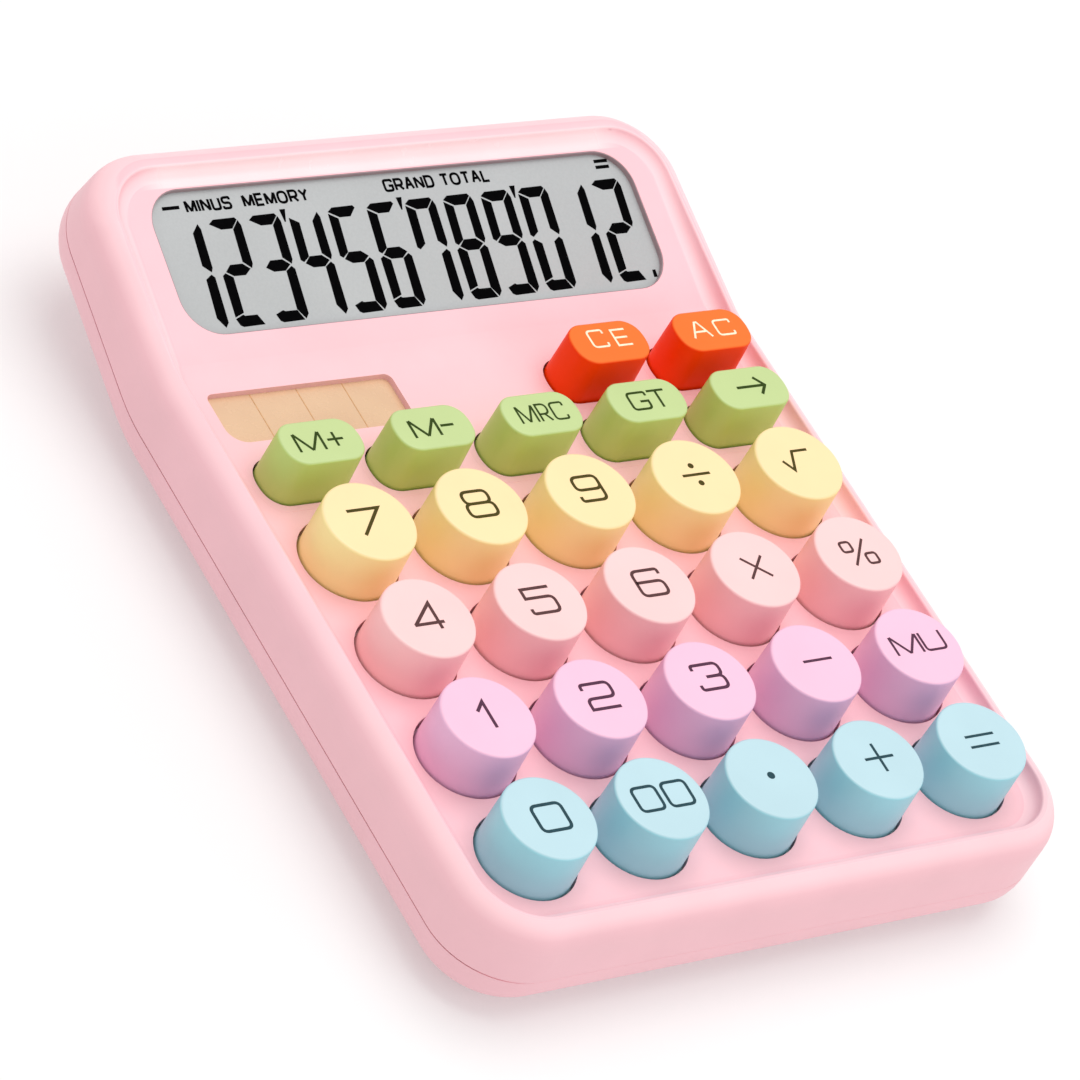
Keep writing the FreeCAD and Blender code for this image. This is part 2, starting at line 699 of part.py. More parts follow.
def make_top_case():
    body = keep(new_body("top_case"))
    case_block(body)
    fillet(body, border_edge(body, 1), "top_rounding")
    take_away(body, make_dish())
    fillet(body, crest_edge(body), "crest_round")
    cut_at_seam(body, "seam_depth - seam_gap / 2", above=False)
    hollow(body)

    holes = new_sketch(body, "key_holes", "XY_Plane", ("0", "0", "deck_z"))
    for name, x, y, is_round in key_places():
        if is_round:
            draw_circle(holes, x, y, "key_hole_radius")
        else:
            draw_flat_circle(holes, x, y, "oblong_hole_radius", "oblong_hole_half_depth")
    pocket(holes, "deck_thickness + key_clearance")

    window = new_sketch(body, "window", "XY_Plane", ("0", "bend_y", "deck_z"), "display_tilt")
    draw_round_box(window, "-window_width / 2", "window_width / 2", "window_start", "window_end",
                   "window_corner")
    pocket(window, "deck_thickness + lens_play")
    y, z = on_display("0", "window_lip")
    lens_seat = new_sketch(body, "lens_seat", "XY_Plane", ("0", y, z), "display_tilt")
    draw_box(lens_seat, "-lcd_half_width - lens_play", "lcd_half_width + lens_play",
             "lcd_front_edge - lens_play", "lcd_rear_edge + lens_play")
    pocket(lens_seat, "deck_thickness - window_lip + lens_play")

    solar = new_sketch(body, "solar_window", "XY_Plane", ("0", "0", "deck_z"))
    draw_round_box(solar, "-solar_left", "solar_right", "solar_front", "solar_rear",
                   "solar_corner", "solar_big_corner")
    pocket(solar, "deck_thickness + solar_play")
    solar_seat = new_sketch(body, "solar_seat", "XY_Plane", ("0", "0", "deck_z - solar_lip"))
    border = "solar_border + solar_play"
    draw_box(solar_seat, f"-solar_left - ({border})", f"solar_right + {border}",
             f"solar_front - ({border})", f"solar_rear + {border}")
    pocket(solar_seat, "deck_thickness - solar_lip + solar_play")

    pad(circles(body, "board_bosses", "deck_thickness", BOARD_BOSSES, "board_boss_radius"),
        "board_top - deck_thickness", flip=True)
    pocket(circles(body, "board_pilots", "board_top", BOARD_BOSSES, "small_shank_radius + screw_play / 2"),
           "small_shank_length", flip=True)
    pad(circles(body, "case_bosses", "deck_thickness", CASE_BOSSES, "case_boss_radius"),
        "case_boss_joint - screw_play - deck_thickness", flip=True)
    pocket(circles(body, "case_pilots", "case_boss_joint - screw_play", CASE_BOSSES,
                   "large_shank_radius + screw_play / 2"), "large_shank_length - screw_play", flip=True)
    pad(display_circles(body, "holder_bosses", "deck_thickness", HOLDER_BOSSES, "holder_boss_radius"),
        "holder_top - deck_thickness", flip=True)
    pocket(display_circles(body, "holder_pilots", "holder_top", HOLDER_BOSSES,
                           "small_shank_radius + screw_play / 2"),
           "holder_top - window_lip", flip=True)


def make_bottom_case():
    body = keep(new_body("bottom_case"))
    case_block(body)
    fillet(body, border_edge(body, -1), "bottom_rounding")
    cut_at_seam(body, "seam_depth + seam_gap / 2", above=True)
    hollow(body)

    wide = "case_counterbore + case_boss_wall"
    pad(circles(body, "low_bosses", "floor_depth", CASE_BOSSES, wide),
        "floor_depth - board_bottom - boss_clearance")
    pad(circles(body, "high_bosses", "floor_depth", CASE_BOSSES, "case_boss_radius"),
        "floor_depth - case_boss_joint")
    pocket(circles(body, "screw_seats", "body_depth", CASE_BOSSES, "case_counterbore"),
           "body_depth - case_screw_seat", flip=True)
    pocket(circles(body, "screw_holes", "case_screw_seat", CASE_BOSSES, "large_shank_radius + screw_play"),
           "case_screw_seat - case_boss_joint", flip=True)
    pocket(circles(body, "foot_seats", "body_depth", FEET.values(), "foot_radius + screw_play"),
           "foot_recess", flip=True)

    cup = display_circles(body, "battery_cup", "floor_depth", [("battery_x", "battery_along")], "cup_radius")
    pad(cup, "floor_depth - cup_depth")
    y, z = on_display("battery_along", "body_depth")
    bore = new_sketch(body, "battery_bore", "XZ_Plane", ("battery_x", z, f"-({y})"), "display_tilt")
    draw(bore, [
        ("0", "-wall"),
        ("cover_radius + cover_play", "-wall"),
        ("cover_radius + cover_play", "ledge_bottom"),
        ("ledge_radius", "ledge_bottom"),
        ("ledge_radius", "ledge_top"),
        ("groove_radius", "ledge_top"),
        ("groove_radius", "groove_top"),
        ("cell_bore", "groove_top"),
        ("cell_bore", "cup_top + wall"),
        ("0", "cup_top + wall"),
    ])
    spin("Groove", bore)
    y, z = on_display("battery_along", "body_depth - ledge_bottom + ledge_play")
    notches = new_sketch(body, "lug_notches", "XY_Plane", ("battery_x", y, z), "display_tilt")
    for turn in (0, 120, 240):
        draw_spoke(notches, f"lug_turn + {90 + turn}", "groove_radius", "lug_width / 2 + cover_play")
    pocket(notches, "ledge_thickness + 2 * ledge_play", flip=True)
    y, z = on_display("battery_along", "cup_depth")
    slot = new_sketch(body, "contact_slot", "XY_Plane", ("battery_x", y, z), "display_tilt")
    draw_box(slot, "-contact_width / 2 - cell_play", "contact_width / 2 + cell_play",
             "-cell_bore - 2 * contact_thickness", "-cell_radius / 2")
    pocket(slot, "cell_height + contact_drop")


def draw_spoke(sketch, turn, reach, half_width):
    """A rectangle that starts near the origin and points outwards at an angle in degrees."""
    points = []
    for out, across in (("1", "-1"), ("2", "-1"), ("2", "1"), ("1", "1")):
        along = f"({out} / 2 * {reach})"
        aside = f"({across} * ({half_width}))"
        points.append((f"{along} * cos(({turn}) * 1deg) - {aside} * sin(({turn}) * 1deg)",
                       f"{along} * sin(({turn}) * 1deg) + {aside} * cos(({turn}) * 1deg)"))
    draw(sketch, points)


def make_round_key(name, x, y):
    body = keep(new_body(name, (x, y, "deck_z")))
    profile = new_sketch(body, "profile", "XZ_Plane")
    inner = "key_top_radius - key_wall"
    flange = "key_hole_radius + flange_reach"
    draw(profile, [
        ("0", "-post_bottom"),
        ("post_radius", "-post_bottom"),
        ("post_radius", "key_rise - key_top_thickness"),
        (inner, "key_rise - key_top_thickness"),
        (inner, "-flange_bottom"),
        (flange, "-flange_bottom"),
        (flange, "-flange_top"),
        ("key_base_radius", "-flange_top"),
        ("key_base_radius", "-deck_thickness / 2"),
        ("key_top_radius", "key_rise - key_edge_round", "ccw", "key_edge_round"),
        ("key_top_radius - key_edge_round", "key_rise"),
        ("0", "key_rise"),
    ])
    spin("Revolution", profile)


def make_oblong_key(name, x, y):
    body = keep(new_body(name, (x, y, "deck_z")))
    cap = new_sketch(body, "cap", "XY_Plane", ("0", "0", "-flange_top"))
    draw_flat_circle(cap, "0", "0", "oblong_base_radius", "oblong_base_half_depth")
    pad(cap, "key_rise + flange_top", draft="-oblong_draft")
    rise = value("key_rise")
    fillet(body, lambda e: e.BoundBox.ZLength > rise, "oblong_corner_round")
    fillet(body, lambda e: e.BoundBox.ZMin > rise - 1e-4, "key_edge_round")
    flange = new_sketch(body, "flange", "XY_Plane", ("0", "0", "-flange_bottom"))
    draw_flat_circle(flange, "0", "0", "oblong_hole_radius + flange_reach", "oblong_base_half_depth")
    pad(flange, "flange_thickness")
    inside = new_sketch(body, "inside", "XY_Plane", ("0", "0", "-flange_bottom"))
    draw_flat_circle(inside, "0", "0", "oblong_radius - key_wall", "oblong_half_depth - key_wall")
    pocket(inside, "key_rise - key_top_thickness + flange_bottom", flip=True)
    post = new_sketch(body, "post", "XY_Plane", ("0", "0", "-post_bottom"))
    draw_circle(post, "0", "0", "post_radius")
    pad(post, "key_rise - key_top_thickness + post_bottom")


def make_keys():
    for name, x, y, is_round in key_places():
        if is_round:
            make_round_key(name, x, y)
        else:
            make_oblong_key(name, x, y)


def make_dome_sheet():
    body = keep(new_body("key_dome_sheet"))
    sheet = new_sketch(body, "sheet", "XY_Plane", ("0", "0", "deck_z - board_top"))
    draw(sheet, [
        ("-board_width / 2", "sheet_front"),
        ("board_width / 2", "sheet_front"),
        ("board_width / 2", "sheet_rear"),
        ("sheet_step_x", "sheet_rear"),
        ("sheet_step_x", "sheet_step"),
        ("-board_width / 2", "sheet_step"),
    ])
    for x, y in BOARD_BOSSES:
        draw_circle(sheet, x, y, "board_boss_radius + boss_clearance")
    for x, y in CASE_BOSSES[:-1]:
        draw_circle(sheet, x, y, "case_boss_radius + boss_clearance")
    pad(sheet, "sheet_thickness")
    places = [(x, y) for name, x, y, is_round in key_places()]
    pad(circles(body, "domes", "sheet_top", places, "dome_base_radius"), "dome_height", draft="-dome_draft")
    pocket(circles(body, "dome_hollows", "board_top", places, "dome_base_radius - dome_wall"),
           "sheet_thickness + dome_height - dome_wall", flip=True, draft="-dome_draft")


def make_board():
    body = keep(new_body("circuit_board"))
    plate = new_sketch(body, "plate", "XY_Plane", ("0", "0", "deck_z - board_bottom"))
    draw_box(plate, "-board_width / 2", "board_width / 2", "board_front", "board_rear")
    for x, y in BOARD_BOSSES:
        draw_circle(plate, x, y, "small_shank_radius + screw_play")
    for x, y in CASE_BOSSES:
        draw_circle(plate, x, y, "case_boss_radius + boss_clearance")
    pad(plate, "board_thickness")


def make_board_pieces():
    chip = keep(new_body("controller_chip", ("0", "grid_y + 0.5 * key_pitch_y", "deck_z - board_bottom")))
    drop = new_sketch(chip, "drop", "XZ_Plane")
    bulge = "(chip_radius^2 + chip_height^2) / 2 / chip_height"
    draw(drop, [("0", "0"), ("0", "-chip_height", "ccw", bulge), ("chip_radius", "0")])
    spin("Revolution", drop)

    place = ("capacitor_x", "bend_y - capacitor_from_bend", "deck_z - board_top + capacitor_radius")
    can = keep(new_body("buffer_capacitor", place))
    end = new_sketch(can, "end", "YZ_Plane")
    draw_circle(end, "0", "0", "capacitor_radius")
    pad(end, "capacitor_length", symmetric=True)


def make_screws(label, places, size, seat, tilted=False):
    """A group of equal screws that point up, with their heads below a depth of the deck or display."""
    screws = []
    for number, (x, along) in enumerate(places, start=1):
        name = f"{label}_{number}"
        if tilted:
            place = (x, *on_display(along, seat))
            body = new_body(name, place, "display_tilt")
        else:
            body = new_body(name, (x, along, f"deck_z - {seat}"))
        shank, head = f"{size}_shank_radius", f"{size}_head_radius"
        rise, drop = f"{size}_shank_length", f"{size}_head_height"
        profile = new_sketch(body, "profile", "XZ_Plane")
        draw(profile, [
            ("0", f"-{drop}"),
            (f"{head} * 2 / 3", f"-{drop}"),
            (head, f"-{drop} / 2"),
            (head, "0"),
            (shank, "0"),
            (shank, f"{rise} - {shank}"),
            ("0", rise),
        ])
        spin("Revolution", profile)
        cross = new_sketch(body, "cross", "XY_Plane", ("0", "0", f"-{drop}"))
        draw_cross(cross, f"{head} / 2", f"{head} / 8")
        pocket(cross, f"{drop} / 2", flip=True)
        screws.append(body)
    group = keep(doc.addObject("Part::Compound", label))
    group.Label = label
    group.Links = screws
    doc.recompute()


def draw_cross(sketch, reach, half):
    draw(sketch, [
        (reach, f"-{half}"), (reach, half), (half, half), (half, reach),
        (f"-{half}", reach), (f"-{half}", half), (f"-{reach}", half), (f"-{reach}", f"-{half}"),
        (f"-{half}", f"-{half}"), (f"-{half}", f"-{reach}"), (half, f"-{reach}"), (half, f"-{half}"),
    ])


def make_display():
    lens = keep(display_body("display_window"))
    pane = new_sketch(lens, "pane", "XY_Plane", ("0", "0", "-lens_bottom"))
    draw_box(pane, "-lcd_half_width", "lcd_half_width", "lcd_front_edge", "lcd_rear_edge")
    pad(pane, "lens_thickness")

    panel = keep(display_body("lcd_panel"))
    rear_glass = new_sketch(panel, "rear_glass", "XY_Plane", ("0", "0", "-lcd_bottom"))
    draw_box(rear_glass, "-lcd_half_width", "lcd_half_width", "lcd_front_edge - lcd_ledge", "lcd_rear_edge")
    pad(rear_glass, "lcd_glass")
    front_glass = new_sketch(panel, "front_glass", "XY_Plane", ("0", "0", "-lcd_top"))
    draw_box(front_glass, "-lcd_half_width", "lcd_half_width", "lcd_front_edge", "lcd_rear_edge")
    pad(front_glass, "lcd_glass", flip=True)

    holder = keep(display_body("lcd_holder"))
    plate = new_sketch(holder, "plate", "XY_Plane", ("0", "0", "-holder_bottom"))
    draw(plate, [
        ("-holder_width / 2", "holder_start"),
        ("holder_width / 2", "holder_start"),
        ("holder_width / 2", "holder_end - holder_corner", "ccw", "holder_corner"),
        ("holder_width / 2 - holder_corner", "holder_end"),
        ("-holder_width / 2 + holder_corner", "holder_end", "ccw", "holder_corner"),
        ("-holder_width / 2", "holder_end - holder_corner"),
    ])
    for x, along in HOLDER_BOSSES:
        draw_circle(plate, x, along, "small_shank_radius + screw_play")
    pad(plate, "holder_thickness")
    rails = new_sketch(holder, "rails", "XY_Plane", ("0", "0", "-holder_top"))
    rail_start = "lcd_rear_edge + holder_gap"
    draw_box(rails, "-holder_stop_x", "holder_stop_x", rail_start, f"{rail_start} + holder_rail")
    stop_end = "lcd_front_edge - lcd_ledge - holder_gap"
    for side in ("-holder_stop_x", "holder_stop_x"):
        draw_box(rails, f"{side} - holder_stop_width / 2", f"{side} + holder_stop_width / 2",
                 "holder_start", stop_end)
    pad(rails, "2 * lcd_glass")

    ribbon = keep(new_body("lcd_ribbon", ("ribbon_x", "0", "0")))
    side = new_sketch(ribbon, "side_view", "YZ_Plane")
    bond_depth = "lcd_top + lcd_glass"
    draw(side, [
        ("board_rear - ribbon_bond", "deck_z - board_top"),
        ("board_rear + ribbon_thickness", "deck_z - board_top"),
        on_display("holder_start + ribbon_thickness", bond_depth),
        on_display("lcd_front_edge - ribbon_thickness", bond_depth),
        on_display("lcd_front_edge - ribbon_thickness", f"{bond_depth} - ribbon_thickness"),
        on_display("holder_start", f"{bond_depth} - ribbon_thickness"),
        ("board_rear", "deck_z - board_top + ribbon_thickness"),
        ("board_rear - ribbon_bond", "deck_z - board_top + ribbon_thickness"),
    ])
    pad(side, "ribbon_width", symmetric=True)


def make_solar_panel():
    body = keep(new_body("solar_panel", ("0", "0", "deck_z")))
    plate = new_sketch(body, "plate", "XY_Plane", ("0", "0", "-solar_back"))
    draw_box(plate, "-solar_left - solar_border", "solar_right + solar_border",
             "solar_front - solar_border", "solar_rear + solar_border")
    pad(plate, "solar_thickness")


def make_battery():
    cell = keep(battery_body("battery_cell"))
    profile = new_sketch(cell, "profile", "XZ_Plane")
    draw(profile, [
        ("0", "groove_top"),
        ("cell_radius", "groove_top"),
        ("cell_radius", "cell_top - cell_step"),
        ("cell_cap_radius", "cell_top - cell_step"),
        ("cell_cap_radius", "cell_top"),
        ("0", "cell_top"),
    ])
    spin("Revolution", profile)

    cover = keep(battery_body("battery_cover"))
    profile = new_sketch(cover, "profile", "XZ_Plane")
    draw(profile, [
        ("0", "0"),
        ("cover_radius - ledge_play", "0"),
        ("cover_radius", "ledge_play"),
        ("cover_radius", "cover_thickness"),
        ("cover_neck_radius", "cover_thickness"),
        ("cover_neck_radius", "cover_top"),
        ("0", "cover_top"),
    ])
    spin("Revolution", profile)
    lug = new_sketch(cover, "lug", "XY_Plane", ("0", "0", "cover_top"))
    draw_spoke(lug, "90", "lug_reach", "lug_width / 2")
    around(cover, pad(lug, "lug_thickness", flip=True), 3)
    slot = new_sketch(cover, "coin_slot", "XY_Plane")
    draw_box(slot, "-coin_slot_length / 2", "coin_slot_length / 2",
             "-coin_slot_width / 2", "coin_slot_width / 2")
    pocket(slot, "coin_slot_depth", flip=True)

    positive = keep(battery_body("battery_contact_positive"))
    profile = new_sketch(positive, "profile", "YZ_Plane")
    leg = "-cell_radius - contact_thickness / 4"
    foot = "groove_top + cell_step"
    tail = "contact_start - battery_along"
    draw(profile, [
        (tail, "cup_top"),
        (f"{leg} - contact_thickness", "cup_top"),
        (f"{leg} - contact_thickness", foot),
        (leg, foot),
        (leg, "cup_top + contact_thickness"),
        (tail, "cup_top + contact_thickness"),
    ])
    pad(profile, "contact_width", symmetric=True)

    negative = keep(battery_body("battery_contact_negative"))
    profile = new_sketch(negative, "profile", "XZ_Plane")
    end = "cell_bore + (cup_radius - cell_bore) / 2"
    dip = "cell_top + contact_thickness / 4"
    inner, middle = "cell_radius / 2", "cell_radius / 4"
    lower = [(f"-({end})", "cup_top"), (f"-({inner})", "cup_top"), (f"-({middle})", dip),
             (middle, dip), (inner, "cup_top"), (end, "cup_top")]
    upper = [(x, f"{z} + contact_thickness") for x, z in reversed(lower)]
    draw(profile, lower + upper)
    pad(profile, "contact_width", symmetric=True)


def battery_body(label):
    """A body whose origin is the middle of the battery cover's outside and whose Z axis points in."""
    return new_body(label, ("battery_x", *on_display("battery_along", "body_depth")), "display_tilt")


def make_lead(label, x, points, plane, at, tilt=None):
    """A round lead that follows a path drawn in side view."""
    body = keep(new_body(label))
    path = new_sketch(body, "path", "YZ_Plane", ("0", "0", x))
    draw(path, points, closed=False)
    section = new_sketch(body, "section", plane, at, tilt)
    draw_circle(section, "0", "0", "lead_radius")
    pipe = body.newObject("PartDesign::AdditivePipe", f"{label}_pipe")
    pipe.Profile = section
    pipe.Spine = (path, [f"Edge{i + 1}" for i in range(len(points) - 1)])
    doc.recompute()
    expected = math.pi * value("lead_radius") ** 2 * path.Shape.Length
    print(label, "length", round(path.Shape.Length, 2), "volume over section times length",
          round(pipe.Shape.Volume / expected, 4))


def make_leads():
    start_y, start_z = "bend_y - solar_lead_from_bend", "deck_z - solar_back"
    turn = math.sqrt(0.5)
    knee_z = f"{start_z} - lead_radius * 2"
    shift, fall = f"solar_lead_bend * {1 - turn}", f"solar_lead_bend * {turn}"
    solar_path = [
        (start_y, start_z),
        (start_y, knee_z, "cw", "solar_lead_bend"),
        (f"{start_y} - {shift}", f"{knee_z} - {fall}"),
        (f"{start_y} - {shift} - lead_radius", f"{knee_z} - {fall} - lead_radius", "ccw", "solar_lead_bend"),
        (f"{start_y} - 2 * {shift} - lead_radius", f"{knee_z} - 2 * {fall} - lead_radius"),
        (f"{start_y} - 2 * {shift} - lead_radius", "deck_z - board_top"),
    ]
    for label, x in (("solar_lead_red", "solar_right - solar_lead_red_inset"),
                     ("solar_lead_black", "solar_right - solar_lead_black_inset")):
        make_lead(label, x, solar_path, "XY_Plane", (x, start_y, start_z))
    print("solar lead bend radius", value("solar_lead_bend"))

    tangent = "battery_lead_bend * tan(display_tilt / 2 * 1deg)"
    level_y, level_z = on_display("0", "lead_depth")
    knee_y = f"({level_y} - ({level_z} - lead_floor_z) * tilt_cos / tilt_sin)"
    end_y = f"min(bend_y - battery_lead_landing; {knee_y} - {tangent} - lead_end_run)"
    starts = [("battery_lead_red", "battery_x", "contact_start + lead_end_run"),
              ("battery_lead_black", "battery_x + battery_lead_black_shift", "battery_along")]
    for label, x, along in starts:
        y, z = on_display(along, "lead_depth")
        path = [
            (y, z),
            (f"{knee_y} + {tangent} * tilt_cos", f"lead_floor_z + {tangent} * tilt_sin", "cw",
             "battery_lead_bend"),
            (f"{knee_y} - {tangent}", "lead_floor_z"),
            (end_y, "lead_floor_z"),
        ]
        make_lead(label, x, path, "XZ_Plane", (x, z, f"-({y})"), "display_tilt")
    print("battery lead bend radius", value("battery_lead_bend"))


def make_feet():
    for label, (x, y) in FEET.items():
        body = keep(new_body(label, (x, y, "0")))
        profile = new_sketch(body, "profile", "XZ_Plane")
        draw(profile, [
            ("0", "0"),
            ("foot_radius - foot_round", "0", "ccw", "foot_round"),
            ("foot_radius", "foot_round"),
            ("foot_radius", "foot_height + foot_recess"),
            ("0", "foot_height + foot_recess"),
        ])
        spin("Revolution", profile)


def check_document():
    """Stops if any object failed or any piece's shape is missing or broken."""
    for thing in doc.Objects:
        if {"Invalid", "Error"} & set(thing.State):
            raise RuntimeError(f"{thing.Label} failed: {thing.State}")
    for node in nodes:
        if node.Shape.isNull() or not node.Shape.isValid():
            raise RuntimeError(f"{node.Label} has no valid shape")


def write_nodes():
    os.makedirs("parts", exist_ok=True)
    for node in nodes:
        node.Shape.exportStep(f"parts/{node.Label}.step")


fill_sheets()
make_top_case()
make_bottom_case()
make_keys()
make_dome_sheet()
make_board()
make_board_pieces()
make_display()
make_solar_panel()
make_battery()
make_leads()
make_screws("board_screws", BOARD_BOSSES, "small", "board_bottom")
make_screws("holder_screws", HOLDER_BOSSES, "small", "holder_bottom", tilted=True)
make_screws("case_screws", CASE_BOSSES, "large", "case_screw_seat")
make_feet()
doc.recompute()
check_document()
write_nodes()
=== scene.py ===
import json
import math

import bmesh
import bpy
from mathutils import Matrix, Vector


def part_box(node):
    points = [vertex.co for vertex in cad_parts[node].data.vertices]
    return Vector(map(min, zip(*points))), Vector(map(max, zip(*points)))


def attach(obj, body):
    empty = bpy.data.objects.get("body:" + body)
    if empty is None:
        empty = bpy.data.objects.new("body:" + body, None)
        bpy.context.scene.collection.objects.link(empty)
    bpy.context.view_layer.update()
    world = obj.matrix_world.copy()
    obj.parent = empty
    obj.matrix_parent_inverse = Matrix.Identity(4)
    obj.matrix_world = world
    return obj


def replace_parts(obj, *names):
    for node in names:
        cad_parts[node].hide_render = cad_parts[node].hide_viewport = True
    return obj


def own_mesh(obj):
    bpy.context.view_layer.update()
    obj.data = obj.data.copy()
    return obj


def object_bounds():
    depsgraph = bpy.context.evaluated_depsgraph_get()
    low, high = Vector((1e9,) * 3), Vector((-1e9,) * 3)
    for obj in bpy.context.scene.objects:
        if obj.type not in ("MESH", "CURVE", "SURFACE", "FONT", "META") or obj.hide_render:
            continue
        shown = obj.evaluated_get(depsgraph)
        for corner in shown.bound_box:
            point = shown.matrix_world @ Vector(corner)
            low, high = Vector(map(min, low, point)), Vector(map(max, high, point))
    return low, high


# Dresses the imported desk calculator: materials, legends, display, silicone domes, floor, light and camera
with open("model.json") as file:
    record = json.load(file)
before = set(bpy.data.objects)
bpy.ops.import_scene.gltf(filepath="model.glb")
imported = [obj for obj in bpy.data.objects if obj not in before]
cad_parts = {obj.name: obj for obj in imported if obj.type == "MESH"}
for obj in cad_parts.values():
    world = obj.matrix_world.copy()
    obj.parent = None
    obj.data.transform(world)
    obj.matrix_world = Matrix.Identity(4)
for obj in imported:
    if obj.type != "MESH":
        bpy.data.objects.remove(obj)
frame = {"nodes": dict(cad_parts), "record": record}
CAD_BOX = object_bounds()
NODES = frame["nodes"]
MM = 0.001

# The deck and the tilted display face, in metres
DISPLAY_TILT = math.radians(16.0)
BEND_Y = CAD_BOX[0][1] + 101.2 * MM
DECK_Z = 16.1 * MM
DISPLAY = Matrix.Translation((0, BEND_Y, DECK_Z)) @ Matrix.Rotation(DISPLAY_TILT, 4, "X")

# The display's opening and what lies in it, in millimetres: left, right, front and rear on the display face
WINDOW = (-43.0, 43.0, 6.4, 29.4)
WINDOW_CORNER = 6.0
WINDOW_LIP = 1.0
FILM_HEIGHT = 0.1
FILM_PLAY = 0.03
LCD_DEPTH = WINDOW_LIP - FILM_HEIGHT
# The liner that paints the shade on the opening's wall: its width, and how far its top lies below the face
LINER_WIDTH = 0.12
LINER_DROP = 0.06

# The oblong keys, in millimetres: the ceiling of the hollow, the top and bottom of the flange and the bottom
# of the post are depths below the key's top, and the draft is a tangent
OBLONG_SLOTS = ("key_green", "key_red")
OBLONG_RADIUS = 6.6
OBLONG_HALF_DEPTH = 3.8
OBLONG_CORNER = 3.1
OBLONG_DRAFT = math.tan(math.radians(1.8))
OBLONG_EDGE = 0.4
OBLONG_CEILING = 1.6
OBLONG_FLANGE_TOP = 10.3
OBLONG_FLANGE_BOTTOM = 11.5
OBLONG_FLANGE_REACH = 1.0
OBLONG_FLANGE_INSET = 0.02
POST_RADIUS = 2.0
POST_BOTTOM = 12.3
# Radius, half depth and corner of the hollow in an oblong key
OBLONG_CAVITY = (5.2, 2.4, 1.4)

# The collars round the oblong keys, in millimetres; the keys' tops stand KEY_RISE above the deck
KEY_RISE = 8.1
COLLAR_PLAY = 0.3
COLLAR_WIDTH = 0.95
COLLAR_HEIGHT = 0.02

# The silicone sheet below the keys, in millimetres
SHEET_THICKNESS = 0.8
SHEET_MARGIN = 1.0
DOME_BASE = 4.6
DOME_TOP = 3.0
DOME_WALL = 0.6
DOME_EDGE = 0.2
BOSS_HOLE = 2.9
# Weights of x, y and z that put the sheet's faces in the same order on each run
FACE_ORDER = Vector((1, 10, 100))
# The bosses through the sheet, in key pitches from key_6
BOSS_PLACES = ((-0.5, -1.5), (0.5, -1.5), (-1.5, -1.5), (1.5, -1.5), (-1.5, -0.5), (1.5, -0.5),
               (-0.5, 0.5), (0.5, 0.5), (-1.5, 0.5), (1.5, 0.5))

# The seam round the case, in millimetres and degrees; its fillet runs along the front and round half of
# each front corner
CASE_CORNER = 12.0
SEAM_Z = 8.5
SEAM_HALF = 0.1
SEAM_FILL = 0.5
SEAM_INSET = 0.02
SEAM_FADE = 0.4
SEAM_SWEEP = 45
FRONT_ANGLE = 270

# The solar panel: the number of cells, and in millimetres its border and the lines between the cells
SOLAR_CELLS = 4
SOLAR_BORDER = 0.9
CELL_LINE_WIDTH = 0.14

# How finely curves are divided, and where smooth shading stops
ARC_STEPS = 6
DISC_STEPS = 24
FLANK_STEPS = 6
CORNER_STEPS = 12
EDGE_STEPS = 6
SEAM_STEPS = 18
SHARP_ANGLE = math.radians(35)

# Printed ink, in millimetres; each further stroke of a glyph is lifted a little to lie over the one before
INK_HEIGHT = 0.03
STROKE_LIFT = 0.004
LEGEND_STROKE = 0.5
SMALL_STROKE = 0.39
WORD_STROKE = 0.4
WORD_HEIGHT = 1.7
SAME_POINT = 1e-5
# The least cosine in a mitred joint, which keeps sharp joints short
MITRE_LIMIT = 0.35

